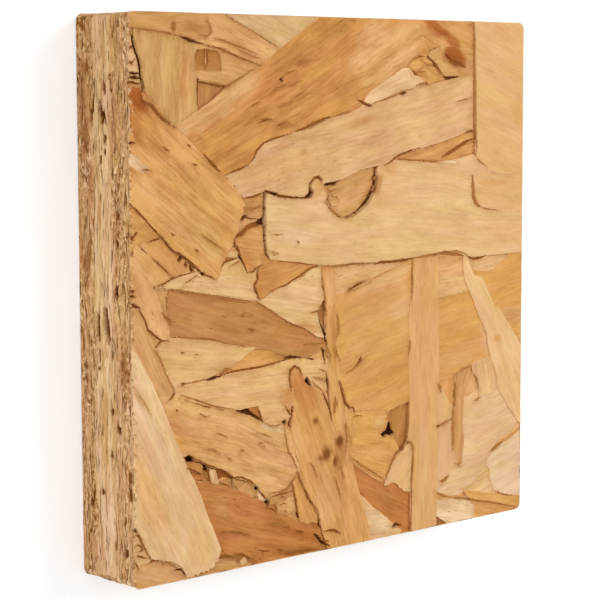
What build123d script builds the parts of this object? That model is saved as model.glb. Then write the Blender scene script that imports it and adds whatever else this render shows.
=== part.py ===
"""One square sawn piece of oriented strand board, lying flat with its better face up.

Lengths are in millimetres and angles in degrees. The origin is the centre of the
underside, X and Y run along the sawn edges and +Z points up out of the better face.
Places on that face are given from its corner at lowest X and Y, and places on the
sawn edge at lowest X from the same corner, along Y and up from the underside.
"""
import os
from collections import namedtuple

from build123d import *

# The sawn piece
panel_side = 100.0
panel_thickness = 15.0
corner_radius = 1.5
arris_break = 0.3

# Depth of a hollow where one strand of the face is missing
hollow_depth = 0.7

# Half-round hollow broken out of the long strand across the middle
half_round_left = (45.0, 69.0)
half_round_bottom = (50.3, 62.7)
half_round_right = (59.0, 72.0)

# Square hollow and the triangle below it, near the upper left corner
square_hollow_centre = (17.6, 91.8)
square_hollow_length = 5.6
square_hollow_width = 3.6
upper_triangle = [(15.3, 88.2), (21.4, 87.2), (15.6, 83.3)]

# Four-sided hollow beside the upright strand, near the lower edge
lower_hollow = [(60.6, 24.4), (67.4, 26.3), (66.7, 18.2), (64.6, 16.6)]

# Open gaps: centre along and across the surface, length, width, turn and depth
Gap = namedtuple("Gap", "along across length width turn depth")

face_gaps = [
    Gap(along=30.2, across=62.6, length=11.6, width=0.6, turn=88.0, depth=1.2),
    Gap(along=27.4, across=62.2, length=5.4, width=0.8, turn=22.0, depth=1.0),
    Gap(along=61.4, across=20.8, length=3.2, width=1.3, turn=14.0, depth=2.4),
    Gap(along=12.8, across=21.5, length=2.3, width=1.0, turn=-18.0, depth=2.0),
    Gap(along=44.4, across=43.0, length=5.6, width=0.7, turn=-74.0, depth=1.2),
    Gap(along=43.8, across=2.4, length=4.0, width=0.7, turn=-42.0, depth=1.2),
]

edge_gaps = [
    Gap(along=45.8, across=7.9, length=6.0, width=1.5, turn=-8.0, depth=2.5),
    Gap(along=45.7, across=5.4, length=5.6, width=0.5, turn=0.0, depth=1.5),
    Gap(along=86.9, across=7.9, length=3.2, width=0.5, turn=-3.0, depth=1.5),
    Gap(along=83.2, across=7.0, length=3.6, width=0.5, turn=-4.0, depth=1.5),
    Gap(along=78.1, across=8.2, length=1.4, width=0.6, turn=0.0, depth=1.5),
    Gap(along=30.8, across=9.0, length=1.5, width=0.6, turn=0.0, depth=1.5),
    Gap(along=6.1, across=12.8, length=1.6, width=0.8, turn=28.0, depth=1.5),
]

# Both surfaces are measured from the same corner of the piece
half_side = panel_side / 2
face_plane = Plane(origin=(-half_side, -half_side, panel_thickness))
edge_plane = Plane(origin=(-half_side, -half_side, 0), x_dir=(0, 1, 0), z_dir=(1, 0, 0))

with BuildPart() as osb_panel:
    # The sawn square with its corners rubbed round
    with BuildSketch():
        RectangleRounded(panel_side, panel_side, corner_radius)
    extrude(amount=panel_thickness)

    # A fine break along the arrises of both faces
    both_faces = osb_panel.faces().filter_by(Axis.Z)
    chamfer(both_faces.edges(), length=arris_break)

    # Hollows one strand deep
    with BuildSketch(face_plane):
        with BuildLine():
            ThreePointArc(half_round_left, half_round_bottom, half_round_right)
            Line(half_round_right, half_round_left)
        make_face()
        with Locations(square_hollow_centre):
            Rectangle(square_hollow_length, square_hollow_width)
        for outline in (upper_triangle, lower_hollow):
            with BuildLine():
                Polyline(*outline, close=True)
            make_face()
    extrude(amount=-hollow_depth, mode=Mode.SUBTRACT)

    # Gaps between strands on the face
    for gap in face_gaps:
        with BuildSketch(face_plane):
            with Locations((gap.along, gap.across)):
                SlotOverall(gap.length, gap.width, rotation=gap.turn)
        extrude(amount=-gap.depth, mode=Mode.SUBTRACT)

    # Gaps between the layers, open at the sawn edge
    for gap in edge_gaps:
        with BuildSketch(edge_plane):
            with Locations((gap.along, gap.across)):
                SlotOverall(gap.length, gap.width, rotation=gap.turn)
        extrude(amount=gap.depth, mode=Mode.SUBTRACT)

osb_panel.part.label = "osb_panel"
os.makedirs("parts", exist_ok=True)
export_step(osb_panel.part, "parts/osb_panel.step")
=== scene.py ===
"""Square sawn piece of oriented strand board, laid out as a Blender add-on and run as a script.

Lengths in the tables are in millimetres and angles in degrees. Places on the better face are
given from its corner at lowest X and Y. Places on the sawn edges run clockwise from that corner,
first up the edge at lowest X, and up from the underside.
"""

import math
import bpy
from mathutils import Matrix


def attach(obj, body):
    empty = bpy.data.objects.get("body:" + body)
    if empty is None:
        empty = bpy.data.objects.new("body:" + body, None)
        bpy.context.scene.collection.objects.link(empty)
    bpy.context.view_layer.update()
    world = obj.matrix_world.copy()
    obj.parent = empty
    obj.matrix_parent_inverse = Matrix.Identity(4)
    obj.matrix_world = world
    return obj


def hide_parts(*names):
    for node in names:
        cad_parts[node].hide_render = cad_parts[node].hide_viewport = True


bl_info = {
    "name": "Strand Board Panel",
    "version": (1, 0, 0),
    "blender": (4, 5, 0),
    "location": "3D View > Sidebar > Strand Board",
    "description": "Makes a sawn piece of oriented strand board with its pressed strands and open edges",
    "category": "Object",
}

from collections import namedtuple
from itertools import chain

import bpy
import numpy as np
from bpy.props import FloatProperty, FloatVectorProperty, IntProperty, PointerProperty
from bpy.types import Operator, Panel, PropertyGroup
from mathutils import Matrix, Vector
from mathutils.geometry import delaunay_2d_cdt

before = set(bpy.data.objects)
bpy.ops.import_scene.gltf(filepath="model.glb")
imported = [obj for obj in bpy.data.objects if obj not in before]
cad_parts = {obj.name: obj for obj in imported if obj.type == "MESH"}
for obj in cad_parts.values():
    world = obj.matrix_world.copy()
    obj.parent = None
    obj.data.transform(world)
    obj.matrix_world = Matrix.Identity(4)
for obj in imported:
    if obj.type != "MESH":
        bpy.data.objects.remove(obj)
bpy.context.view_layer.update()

MM = 0.001
SIDE = 100.0
THICKNESS = 15.0
CORNER_RADIUS = 1.5

# A strand: its tone, how many strands lie above it, the angle of its grain, how dark the seam
# round it is and its outline. The list runs from the top of the mat down, so an earlier strand
# hides a later one.
Strand = namedtuple("Strand", "name tone layer grain seam outline")

STRANDS = [
    Strand("right_strand", "straw_light", 0, -20, 0.2, [
        (85, 101), (84.9, 93), (85.2, 87), (85, 82), (85.5, 77.5), (85.4, 73.5), (87, 72), (89.2, 70.7),
        (92.5, 69.8), (96, 69.5), (101, 70.2), (101, 101)]),
    Strand("edge_sliver", "brown", 0, -45, 0.8, [
        (3.2, 86.8), (4.6, 85.4), (7.5, 82.6), (10, 80.2), (8.2, 80.9), (6.5, 82.2), (5, 83.8),
        (3.4, 84.5), (2.7, 86)]),
    Strand("edge_chip", "pale_pink", 0, -38, 0.3, [
        (-1, 76.6), (1, 75.8), (2.5, 74.6), (4.6, 72.9), (3, 72.3), (1, 73.4), (-1, 74.4)]),
    Strand("left_honey", "honey", 0, -38, 0.45, [
        (-1, 87.6), (1, 87.3), (3, 86.8), (4.6, 85), (7.5, 82.3), (10, 80.1), (13, 78), (15.8, 75.5),
        (20.7, 71.4), (22.5, 70.2), (25.4, 67.3), (25.7, 66), (25, 64.3), (24, 61.8), (23.2, 60),
        (21.4, 57), (19.7, 54.4), (18.7, 53.3), (15.8, 54.6), (12, 57.3), (9, 58.9), (6.6, 61.4),
        (4, 63.9), (1.3, 66.4), (-1, 68)]),
    Strand("pink_plank", "cream_pink", 0, 12, 0.35, [
        (20.9, 71.5), (24.5, 72.6), (26.5, 73.2), (28, 74.7), (30, 77), (36, 78.5), (41, 79.7),
        (46, 81.3), (50, 82.3), (57, 83.8), (63, 85.2), (71.5, 87.3), (78, 88.5), (85.8, 89.5),
        (85.8, 78.6), (83, 78.1), (76, 76.4), (67.5, 74.7), (63.5, 73.6), (60.5, 72.6), (58.5, 72.2),
        (54, 71.6), (50, 70.2), (47.5, 69.3), (44.8, 69.2), (43.7, 70.3), (42.5, 70.5), (41.5, 69.9),
        (41, 69), (42.2, 67.3), (40.5, 66.9), (36, 67.2), (33.7, 67.6), (30, 68.3), (27, 67.7),
        (25.3, 67.4), (22.5, 70.3)]),
    Strand("right_patch", "straw_light", 0, -8, 0.2, [
        (84.8, 69.2), (84.9, 66), (85.1, 64.6), (86, 63.6), (88, 62.9), (92, 62.4), (101, 61.8),
        (101, 70), (94, 69.4), (88, 70)]),
    Strand("mid_long", "cream", 0, -4, 0.55, [
        (30.6, 68.5), (30.3, 64), (30.2, 60), (30.5, 57.3), (31.6, 56), (36, 55.4), (43.5, 54.3),
        (50, 54), (58, 53.9), (68, 54.2), (76, 54.9), (80, 55), (82.3, 54.5), (84, 53.4), (88.5, 53.4),
        (101, 53.5), (101, 71), (86, 74), (80, 73), (75, 72.6), (73, 72.4), (70, 72.9), (65, 73.3),
        (61.5, 73.4), (58.6, 72), (58, 70.2), (57.5, 68), (56, 65.7), (54, 64.1), (52, 63.1), (50, 62.7),
        (48.3, 63), (46.4, 64.4), (45.2, 65.8), (44.9, 69.5), (44, 71), (40, 70.5), (35, 69)]),
    Strand("pale_diagonal", "pale_pink", 0, -63, 0.3, [
        (-1, 42.8), (1.2, 41.5), (3, 38.5), (5.3, 34.4), (7, 31), (9.5, 25.2), (11.3, 21.8), (13, 18.7),
        (15, 14.9), (16.6, 10.8), (18.6, 6.6), (19.5, 4.6), (19.2, 2.6), (17.5, 1.2), (14.5, 0.7),
        (11.6, 0.4), (11.4, 1.3), (10.8, 2.1), (8, 3.6), (4, 5), (2.3, 7.7), (0.5, 10.8), (-1, 12)]),
    Strand("thin_strip", "honey", 1, -85, 0.18, [
        (43.9, 55), (44.4, 50.5), (45.1, 47.3), (45.3, 44), (45.5, 40), (45.9, 36.5), (45.5, 34),
        (45.7, 32), (46.2, 28.5), (46.9, 25), (48, 22.5), (50, 23.5), (51.6, 25.6), (50.4, 27.5),
        (49.4, 29.7), (48.8, 31.8), (48.5, 34), (48.4, 36.3), (47.7, 39), (48.4, 41.4), (47.9, 45),
        (47.6, 50), (47.5, 55)]),
    Strand("pink_upright", "pink_tan", 0, 90, 0.12, [
        (68, 55), (68, 50), (67.6, 46), (67, 42), (67.3, 37), (66.9, 33), (67.4, 28), (67.2, 22),
        (66.6, 18.3), (67.9, 17.2), (68.3, 15.5), (67.9, 10), (67.4, 6), (67.5, -1), (74.8, -1),
        (75.1, 8), (75.4, 20), (75.5, 34), (75.4, 44), (75, 55)]),
    Strand("pale_strip", "cream", 0, -60, 0.02, [
        (82, 55), (83.8, 53.6), (84.3, 51.4), (85.3, 49.8), (87.3, 49.2), (88.7, 47.8), (89.8, 45.7),
        (91.3, 43.2), (93.5, 42), (95, 40), (97, 37.5), (101, 32.5), (101, 17), (98.5, 18.8), (96, 21.8),
        (94, 24.4), (92.6, 26.2), (92.5, 28.3), (91.2, 31), (90.2, 33), (89.5, 35.4), (89.3, 37.4),
        (88, 39.6), (86.8, 41.4), (85.2, 44.5), (84, 46.6), (82.9, 48.5), (82.3, 50.8)]),
    Strand("corner_brown", "tan_dark", 1, 3, 0.4, [
        (-1, 97.1), (4, 96.7), (8, 96.3), (11, 95.6), (14, 95.2), (17.2, 95.6), (18.4, 96.6),
        (18.5, 97.5), (17.6, 98.4), (18.3, 101), (-1, 101)]),
    Strand("pale_flake", "pale_pink", 1, 15, 0.3, [
        (53.6, 83), (56.5, 86.2), (60, 88), (63, 89.4), (65, 90.6), (67, 90.7), (68, 89.9), (70.8, 88.3),
        (72.3, 87.4), (72, 86), (60, 83)]),
    Strand("yellow_sliver", "amber", 1, 10, 0.2, [
        (66.8, 91.2), (68.5, 92.3), (70.5, 92.8), (72.2, 92.3), (73.2, 91.9), (74, 91), (70.5, 91),
        (68.2, 90.2)]),
    Strand("amber_big", "orange", 1, 26, 0.25, [
        (9.8, 80.1), (15, 83), (18, 84.6), (21.7, 87.2), (27, 89.8), (31, 91.8), (34, 94), (37, 95.7),
        (40, 97.6), (46, 101), (68.6, 101), (70.4, 97), (72.2, 93.6), (71, 91), (66, 86), (50, 80),
        (28, 72), (20, 69), (14, 75)]),
    Strand("grey_tan", "grey_tan", 1, 88, 0.5, [
        (0.7, 98), (12, 96.5), (15, 95.5), (14.9, 93.8), (14.6, 90), (14.9, 88.4), (15.1, 84),
        (15.2, 82.5), (10, 79), (7.5, 82), (4.6, 84.5), (3.2, 87), (2.7, 89.5), (2.4, 91.5), (1.4, 94),
        (0.9, 96)]),
    Strand("knot_strand", "tan", 1, -15, 0.05, [
        (71.8, 93.4), (73.2, 94.3), (75.6, 94.9), (79, 95), (86, 94), (86, 88), (80, 88.6), (77.2, 88.9),
        (75.4, 90.5), (73.8, 91.6)]),
    Strand("top_right_tan", "honey", 1, -20, 0.08, [
        (67, 101), (71, 95), (72, 93.3), (74.3, 91), (76.5, 88.7), (80, 88), (86, 88), (86, 101)]),
    Strand("streaky_honey", "pink_tan", 1, -20, 0.4, [
        (6, 34), (11.5, 33.1), (18, 30.6), (23.4, 29.1), (26.5, 28.1), (29.5, 26.6), (33, 25.4),
        (34.6, 25.5), (36.5, 23), (37.5, 19), (38.6, 16.4), (36.6, 14.4), (35, 13), (31.4, 12.2),
        (30.4, 12), (28.4, 14.4), (25, 16.3), (22.5, 17), (20, 18.8), (16.5, 19.9), (13, 21.9),
        (10, 22.5), (6, 30)]),
    Strand("edge_light", "pink_tan", 1, -62, 0.35, [
        (-1, 59.5), (1, 58), (2.5, 56.2), (3.8, 54.2), (4.8, 53), (6.2, 50.3), (7.4, 47.2), (8.3, 45.5),
        (8.2, 43.1), (6.6, 43.4), (5.2, 44.2), (4, 44.8), (3.3, 46.5), (2.2, 48.5), (-1, 50.5)]),
    Strand("edge_dark_honey", "tan", 1, -62, 0.35, [
        (-1, 52), (2.2, 50), (4.5, 46.5), (6, 45), (7.5, 44), (5.3, 42.2), (6.8, 39.2), (8, 36.5),
        (9.3, 34.4), (9, 33.2), (8, 32.8), (7.5, 30), (5, 33), (-1, 40)]),
    Strand("pale_notch", "honey", 1, -5, 0.3, [
        (34.3, 32), (37.2, 31.9), (37.2, 28.6), (36.2, 27), (35, 28.5), (34.2, 29.6)]),
    Strand("upright_tan", "honey", 1, -68, 0.4, [
        (36, 34.6), (36.4, 35.5), (37.3, 35.7), (38.4, 35.3), (39.4, 34), (41.2, 32.2), (43.4, 30.2),
        (44.6, 28.4), (46, 26.5), (48, 24.5), (51, 25), (53, 22.4), (52.2, 20.5), (51.6, 18), (52.1, 16),
        (53.3, 11.5), (55.4, 5.8), (56.4, 3), (56.6, -1), (46, -1), (44.2, 3.6), (43.6, 6.2), (42, 9.1),
        (40.2, 11.5), (38.8, 14.6), (37.6, 17), (36.5, 18.9), (35.9, 19.7), (35.3, 22.8), (34.8, 25.4),
        (36.2, 25), (36.5, 27), (36.9, 29.5), (36.5, 32)]),
    Strand("upright_sliver", "pink_tan", 2, -70, 0.3, [
        (42.4, 32.2), (44.4, 31.8), (45.5, 29.8), (46.4, 26.4), (46.7, 24.4), (45.4, 25.8), (43.8, 29)]),
    Strand("russet_small", "orange", 1, 10, 0.45, [
        (30.5, 56.5), (36, 56), (40, 55.5), (44, 54.4), (41.5, 53.5), (39.5, 52.6), (35.5, 51.2),
        (32.5, 50.4), (29.2, 48.9), (28.6, 49.8), (27.8, 51.4), (28.6, 52), (28.4, 53.5), (28.8, 54.5),
        (30, 55.3)]),
    Strand("pink_oval", "cream_pink", 1, -75, 0.08, [
        (84.9, 31.9), (87, 32.6), (90.5, 32.6), (92.6, 29.5), (92.9, 26.4), (91.3, 25.3), (89, 25.1),
        (87.2, 24.9), (86.9, 26.6), (86, 28.5), (85, 30.3)]),
    Strand("grey_bar", "tan_dark", 1, 88, 0.12, [
        (79.7, 30.4), (82.4, 30.8), (82.6, 26), (82.4, 20), (82.8, 17), (82.4, 14.5), (82, 12),
        (80.7, 11.8), (80.4, 14.6), (79.5, 15.3), (79.6, 19), (79.6, 24), (79.9, 27.5)]),
    Strand("pale_low", "straw_light", 1, 40, 0.25, [
        (60.4, 11.7), (61.6, 12.6), (62.8, 14.6), (64.8, 16.3), (66.6, 18.3), (69, 17), (69, 7.5),
        (65.5, 8.7), (63, 10.6), (60.3, 10.4)]),
    Strand("corner_light", "straw_light", 1, 10, 0.1, [
        (83.5, 54.5), (84.3, 51.6), (86, 50.5), (89, 50.2), (91, 50.6), (93, 51.7), (96, 53.4),
        (97, 55)]),
    Strand("edge_pale_orange", "tan", 1, -5, 0.1, [
        (92, 42.2), (94, 42.6), (97, 42.4), (101, 42.8), (101, 31), (96, 37)]),
    Strand("amber_corner", "amber", 1, 10, 0.2, [
        (83.8, 55), (84.2, 51), (86, 48), (88, 45), (90.4, 43), (92, 41.5), (96, 41.5), (101, 42),
        (101, 55)]),
    Strand("orange_small", "honey", 2, -10, 0.45, [
        (22.8, 60.2), (24.2, 60.4), (26, 61.8), (28.5, 62.4), (29.8, 62.2), (31, 62), (31.5, 57),
        (31.6, 55.6), (28.5, 54.6), (26.2, 53.8), (25.2, 55.5), (24.2, 57.6)]),
    Strand("cream_long", "cream", 2, -9, 0.3, [
        (4.8, 52.4), (9, 54.2), (16, 56), (21, 58), (26, 58), (31, 56.5), (36, 56.5), (44.5, 55),
        (45.8, 47), (45.6, 40.2), (42.8, 41), (40, 42.7), (36, 44.3), (33, 45.9), (30, 47.8), (26, 48.9),
        (20, 50.1), (14, 51.1), (9, 51.9)]),
    Strand("left_small_low", "pink_tan", 2, -38, 0.3, [
        (1, 60.3), (5, 57.6), (7.5, 55.5), (9.4, 53.9), (7.5, 53.2), (5.4, 52.4), (4.2, 53.6),
        (2.5, 56.2), (0.5, 58.5)]),
    Strand("left_small_mid", "honey", 2, -38, 0.3, [
        (3, 60.7), (5, 60.6), (7, 61.6), (9.5, 59.5), (11, 57.8), (13.4, 55.2), (14, 54.7), (11.5, 54.3),
        (9.3, 53.5), (7.4, 55), (5, 57.2), (2, 60.2)]),
    Strand("left_small_high", "honey", 2, -20, 0.35, [
        (-1, 68.5), (2, 67), (5, 64.5), (7.8, 61.6), (5.5, 60.2), (3.5, 59.8), (1.5, 59.2), (-1, 58.4)]),
    Strand("pale_yellow", "straw_light", 2, -6, 0.1, [
        (6.2, 44.6), (8.2, 43.9), (12, 43.3), (18, 42.4), (22, 41.6), (26, 40.4), (28.5, 40.2),
        (26.5, 39.5), (24, 38.1), (21, 36.9), (17, 35.7), (12, 35.4), (9, 34.6), (7, 37), (5, 41.5)]),
    Strand("pale_mid", "straw_light", 2, -3, 0.25, [
        (8.5, 34.8), (12, 35.1), (16.8, 35.4), (20, 36.1), (25, 36.4), (30, 36.5), (35, 37.2),
        (38.5, 37.4), (41, 36.8), (44, 36.9), (46.5, 36.5), (46.5, 31), (43.4, 29.5), (36, 26),
        (33, 24.8), (29.6, 26.5), (28.4, 29.5), (23.4, 29.2), (18, 29.8), (12, 31), (8, 32)]),
    Strand("honey_low", "amber", 2, -14, 0.2, [
        (50.5, 25.8), (60.6, 25.2), (61.4, 22.5), (62.7, 20.3), (63.3, 19), (64.7, 16.8), (65.2, 16),
        (62, 13), (60, 11), (57, 12.5), (54, 14.5), (51, 16.5), (51, 20)]),
    Strand("amber_field", "amber", 1, 13, 0.2, [
        (46.5, 48.2), (49.5, 48.5), (51.5, 49.1), (53.5, 50), (56, 50.5), (60, 51.5), (63, 52.8),
        (66, 53.8), (69, 54.8), (69, 26.8), (66, 25.9), (62.5, 25.1), (60.6, 24.5), (57, 25), (52.4, 25),
        (49.5, 27.5), (47.5, 33), (47, 40)]),
    Strand("left_of_upright", "amber", 2, -65, 0.35, [
        (37, 16), (39.2, 16.6), (41, 13), (44.5, 8), (43.8, 5.6), (40, 6), (38.3, 6.9), (37.9, 8.5),
        (37.1, 12.3), (36.8, 13.9)]),
    Strand("pink_low", "cream_pink", 2, -8, 0.25, [
        (54, 9.6), (57.5, 6.5), (59.6, 5.1), (61, 4.1), (63, 2.4), (65, 1), (65, -1), (55.5, -1),
        (55, 3.5)]),
    Strand("top_light", "pink_tan", 2, -22, 0.25, [
        (12, 96), (20, 95.1), (24, 94), (30, 91.9), (31.8, 92), (34, 94), (27, 97.2), (20.5, 100.2),
        (19, 101), (12, 101)]),
    Strand("top_beige", "beige", 2, -22, 0.3, [
        (18, 101), (27, 96.8), (33.7, 93.6), (36, 94), (39, 96), (42, 98), (48, 101)]),
    Strand("amber_small", "honey", 2, -20, 0.35, [
        (67.5, 89.6), (70, 90.9), (73, 91.2), (74.3, 91.2), (75.5, 89.8), (77, 88.3), (73, 86.8),
        (70, 88)]),
    Strand("left_pale_low", "cream_pink", 2, 80, 0.06, [
        (74.5, 21), (77, 20.5), (80, 21.3), (80.5, 14), (81.2, 12), (79.4, 11), (78, 9.9), (76, 9.4),
        (74.5, 9)]),
    Strand("left_pale_high", "straw_light", 2, 80, 0.06, [
        (74.5, 29.6), (77, 27), (78.5, 24.6), (80.3, 23.5), (80, 20.8), (77, 20), (74.5, 20)]),
    Strand("pale_square", "cream", 2, 70, 0.08, [
        (81.8, 25.4), (84, 25.4), (86.4, 26.5), (87.2, 24), (84, 21.5), (81.8, 21.6)]),
    Strand("beside_bar", "tan", 2, 70, 0.08, [
        (81.8, 31.2), (85.4, 31.8), (86.4, 29.4), (87.6, 27), (86.7, 24), (84, 24.3), (81.8, 24.5)]),
    Strand("pale_corner", "ivory", 2, 15, 0.2, [
        (90.8, 13.2), (93, 14.4), (97, 15.9), (101, 17), (101, 2.6), (96, 3.6), (91.5, 5.2), (90.4, 8),
        (90.2, 9.9), (89, 10.6)]),
    Strand("bottom_amber", "amber", 2, -15, 0.25, [
        (82.6, 6.5), (86, 5.8), (90, 4.9), (95, 3.5), (101, 2.7), (101, -1), (86, -1), (85.5, 3),
        (84, 4.6)]),
    Strand("bottom_pale", "ivory", 2, -5, 0.2, [
        (74.5, 5.4), (79, 5.1), (83, 4.7), (86.2, 3.2), (87.2, -1), (78.5, -1), (77.5, 0.6), (76, 1.4),
        (74.5, 2.6)]),
    Strand("amber_right", "pink_tan", 2, 4, 0.15, [
        (74.5, 55.5), (82.8, 55.5), (83, 50.3), (80, 50.2), (74.5, 49.6)]),
    Strand("light_band", "straw_light", 2, 4, 0.2, [
        (74.5, 50.2), (80, 50.8), (83.4, 50.4), (85, 46.8), (79, 46.1), (74.5, 45.8)]),
    Strand("orange_right", "amber", 2, 10, 0.2, [
        (74.5, 46.5), (79, 46.6), (86, 47), (88, 42), (90.5, 36.5), (84, 36.2), (74.5, 36.5)]),
    Strand("yellow_right", "amber", 2, 10, 0.15, [
        (74.5, 37), (82, 37), (90.5, 36.5), (91.5, 31.6), (87, 31), (84.8, 31), (80, 29.6),
        (74.5, 29.2)]),
    Strand("russet_bottom", "russet", 2, -17, 0.35, [
        (10, 21), (14.2, 17.6), (17, 17), (21, 15.6), (25, 14), (29, 12), (33, 9.3), (38, 7), (43, 6.2),
        (45, 6), (47, 2), (47.5, -1), (27.5, -1), (26.6, 0.8), (24.5, 2.2), (22, 2.6), (19.4, 2.9),
        (18, 1.5), (13, 10), (10, 18)]),
    Strand("corner_tan", "cream_pink", 2, -60, 0.25, [
        (-1, 13), (0.8, 11), (2, 9.4), (3.6, 6.4), (4.6, 4.6), (2, 4.6), (-1, 4.6)]),
    Strand("bottom_left", "tan_dark", 2, -20, 0.5, [
        (-1, 5.4), (4, 5.1), (8, 4.2), (11.6, 2.5), (13.5, 0.6), (13.5, -1), (-1, -1)]),
    Strand("crumb_russet", "orange", 3, 20, 0.7, [
        (11.6, 21.2), (14, 20.8), (15.7, 20.2), (15.4, 18.7), (13, 19.4), (11, 20)]),
    Strand("crumb_cream", "cream", 3, 80, 0.7, [
        (16.7, 19.6), (18.6, 19.3), (19.2, 16.2), (17.6, 16.2)]),
    Strand("crumb_olive", "tan_dark", 3, 25, 0.4, [
        (21.8, 17.6), (25, 16.8), (28.6, 14.6), (28, 12.6), (24.5, 13.6), (22.6, 15)]),
    Strand("crumb_notch", "russet", 3, -20, 0.2, [
        (25.6, 29.4), (28.5, 29.6), (29.6, 26.5), (27.4, 27.6)]),
    Strand("crumb_strip", "russet", 3, -20, 0.5, [
        (11.8, 20.2), (15.3, 18.5), (15.6, 17.4), (13, 18.2)]),
    Strand("crumb_curl", "grey_brown", 3, 20, 0.3, [
        (19.4, 16.9), (21.2, 17.1), (22.5, 16.4), (22.2, 15.4), (20.6, 15.9)]),
    Strand("crumb_chip", "russet", 3, -20, 0.5, [
        (30.8, 11), (32.5, 10.7), (32.8, 9.2), (31, 9.9)]),
    Strand("crumb_pale", "pink_tan", 3, -15, 0.3, [
        (33, 10.6), (36.6, 11.8), (37.2, 9.2), (35, 8.2), (33, 9.2)]),
    Strand("crumb_straw", "ivory", 3, -40, 0.3, [
        (27.4, 14.6), (29.4, 13.8), (31, 12), (29, 11.2)]),
    Strand("crumb_left", "tan_dark", 3, -30, 0.5, [
        (9, 60.4), (13, 58), (17, 55.4), (16, 53.8), (13.3, 54.3), (11.4, 55.6), (10, 57)]),
    Strand("crumb_low", "tan_dark", 3, -25, 0.3, [
        (29.8, 12.9), (33.5, 13.8), (37.5, 15.4), (38.6, 10), (39.2, 6), (36, 7.2), (33.5, 8.5),
        (31, 9.8)]),
    Strand("torn_edge", "cream_pink", 3, 0, 0.5, [
        (-1, 97.6), (1.4, 97), (1.8, 94.5), (2.6, 92.8), (3.2, 91), (3.2, 89), (3.8, 86.4), (-1, 86.8)]),
    Strand("top_strip", "pink_tan", 3, -17, 0.7, [
        (11, 96.4), (15, 95), (19, 94.1), (25.5, 92.2), (30, 90.9), (32.4, 91.6), (24, 94.6), (19, 96)]),
    Strand("yellow_tan", "tan", 3, -5, 0.5, [
        (14, 95.6), (19, 94.7), (25, 92.9), (30.8, 91.3), (27, 89.2), (21.8, 87.1), (18, 87.7),
        (14.5, 88.3)]),
    Strand("amber_wedge", "honey", 3, 12, 0.35, [
        (61, 73.6), (66, 75.5), (74, 77), (86, 79.5), (86, 76.6), (82, 75.7), (79.5, 74.8), (77, 74),
        (74.6, 72.4), (70, 72.2), (63, 72.6)]),
    Strand("orange_wedge", "amber", 3, 80, 0.1, [
        (74.5, 31), (80.6, 31), (80.6, 23.6), (78.3, 24), (77, 26.4), (74.5, 28.2)]),
    Strand("russet_low", "russet", 3, -27, 0.3, [
        (50.5, 17.4), (55, 15), (58, 13.4), (61, 12.6), (64, 11.4), (69, 9.4), (69, -1), (60, -1),
        (54, 5), (51, 8)]),
    Strand("small_brown", "tan_dark", 3, 5, 0.6, [
        (24.6, 68.4), (31.2, 69), (31.2, 63.2), (29.8, 63.4), (27, 63.8), (25, 64.2), (25, 66)]),
    Strand("grey_brown_end", "tan", 3, -60, 0.3, [
        (5, 52.6), (8.3, 52.2), (7.8, 50.2), (7.9, 47.6), (6.4, 48.2), (5.6, 50.4)]),
    Strand("grey_brown", "grey_brown", 3, -14, 0.35, [
        (4.6, 53), (20, 51.4), (30, 49.2), (36, 46.2), (46.4, 43), (46.6, 37.2), (44, 38.3), (41, 37.2),
        (36, 37.8), (33, 38.9), (31, 39.7), (28, 40), (22, 41.3), (14, 43), (7.6, 44), (7.8, 46),
        (6.4, 48.3), (5.6, 50.5)]),
    Strand("orange_line", "pink_tan", 3, 20, 0.1, [
        (90.2, 13.4), (93.5, 15.6), (97, 17.2), (99, 19), (101, 19.2), (101, 16), (97, 15), (93, 13.6)]),
    Strand("tan_low_right", "cream", 3, 20, 0.15, [
        (82, 6.8), (85, 7.4), (87, 8.9), (89.4, 10.9), (91.5, 9.5), (92.4, 6), (92, 4.2), (87, 4.2)]),
    Strand("bottom_strip", "tan_dark", 3, -10, 0.7, [
        (14.5, -1), (15, 1.8), (19, 3.4), (22, 3.4), (26, 1.9), (29, -1)]),
    Strand("bottom_strip_right", "pink_tan", 3, -8, 0.1, [
        (74.3, 7.2), (78, 6), (83, 5.2), (84.5, 4), (74.3, 4.2)]),
    Strand("pink_field", "pale_pink", 2, 8, 0.1, [
        (81.4, 26), (88, 27), (94, 28), (99, 20), (99.5, 17.8), (96, 16), (93, 14.4), (91, 12.8),
        (90, 11), (88.9, 9.8), (87, 8.4), (84, 6.8), (80, 5), (75, 6), (75, 10), (79, 12.4), (81.4, 12)]),
    Strand("pale_wedge", "straw_light", 3, 5, 0.3, [
        (46.8, 55.4), (46.8, 47), (56, 48), (70, 52), (70, 55.4)]),
    Strand("tan_wedge", "amber", 4, -2, 0.5, [
        (24, 41), (31, 40.8), (37.4, 39), (37, 37), (33, 36), (25, 35.6), (17, 34.8), (19, 36.6),
        (22, 38.6)]),
    Strand("pink_wedge", "honey", 4, 15, 0.3, [
        (72, 71.4), (77, 74.6), (82, 76.6), (87, 77.6), (87, 71.6), (80, 71.6)]),
    Strand("umber_corner", "dusk", 4, 0, 0.3, [
        (74.2, 3), (77, 1.8), (79.2, 0.4), (79.2, -1), (74.2, -1)]),
    Strand("square_floor", "grey_brown", 6, 90, 0.5, [
        (14, 95), (22, 94), (22, 82), (14, 82)]),
    Strand("curl_flake", "tan", 4, 10, 0.2, [
        (45.8, 66.7), (46.7, 67.1), (48.1, 66.8), (48.6, 65.8), (48.1, 65), (46.7, 65.1)]),
    Strand("half_round_floor", "tan", 6, 15, 0.3, [
        (42, 73), (42, 62), (54, 60.6), (62, 67), (62, 74.5)]),
    Strand("low_floor", "orange", 6, 70, 0.5, [
        (58.5, 27), (70, 28), (70, 14.5), (61, 14.5)]),
    Strand("bed", "tan", 5, 10, 0.5, [
        (-3, -3), (103, -3), (103, 103), (-3, 103)]),
]

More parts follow.
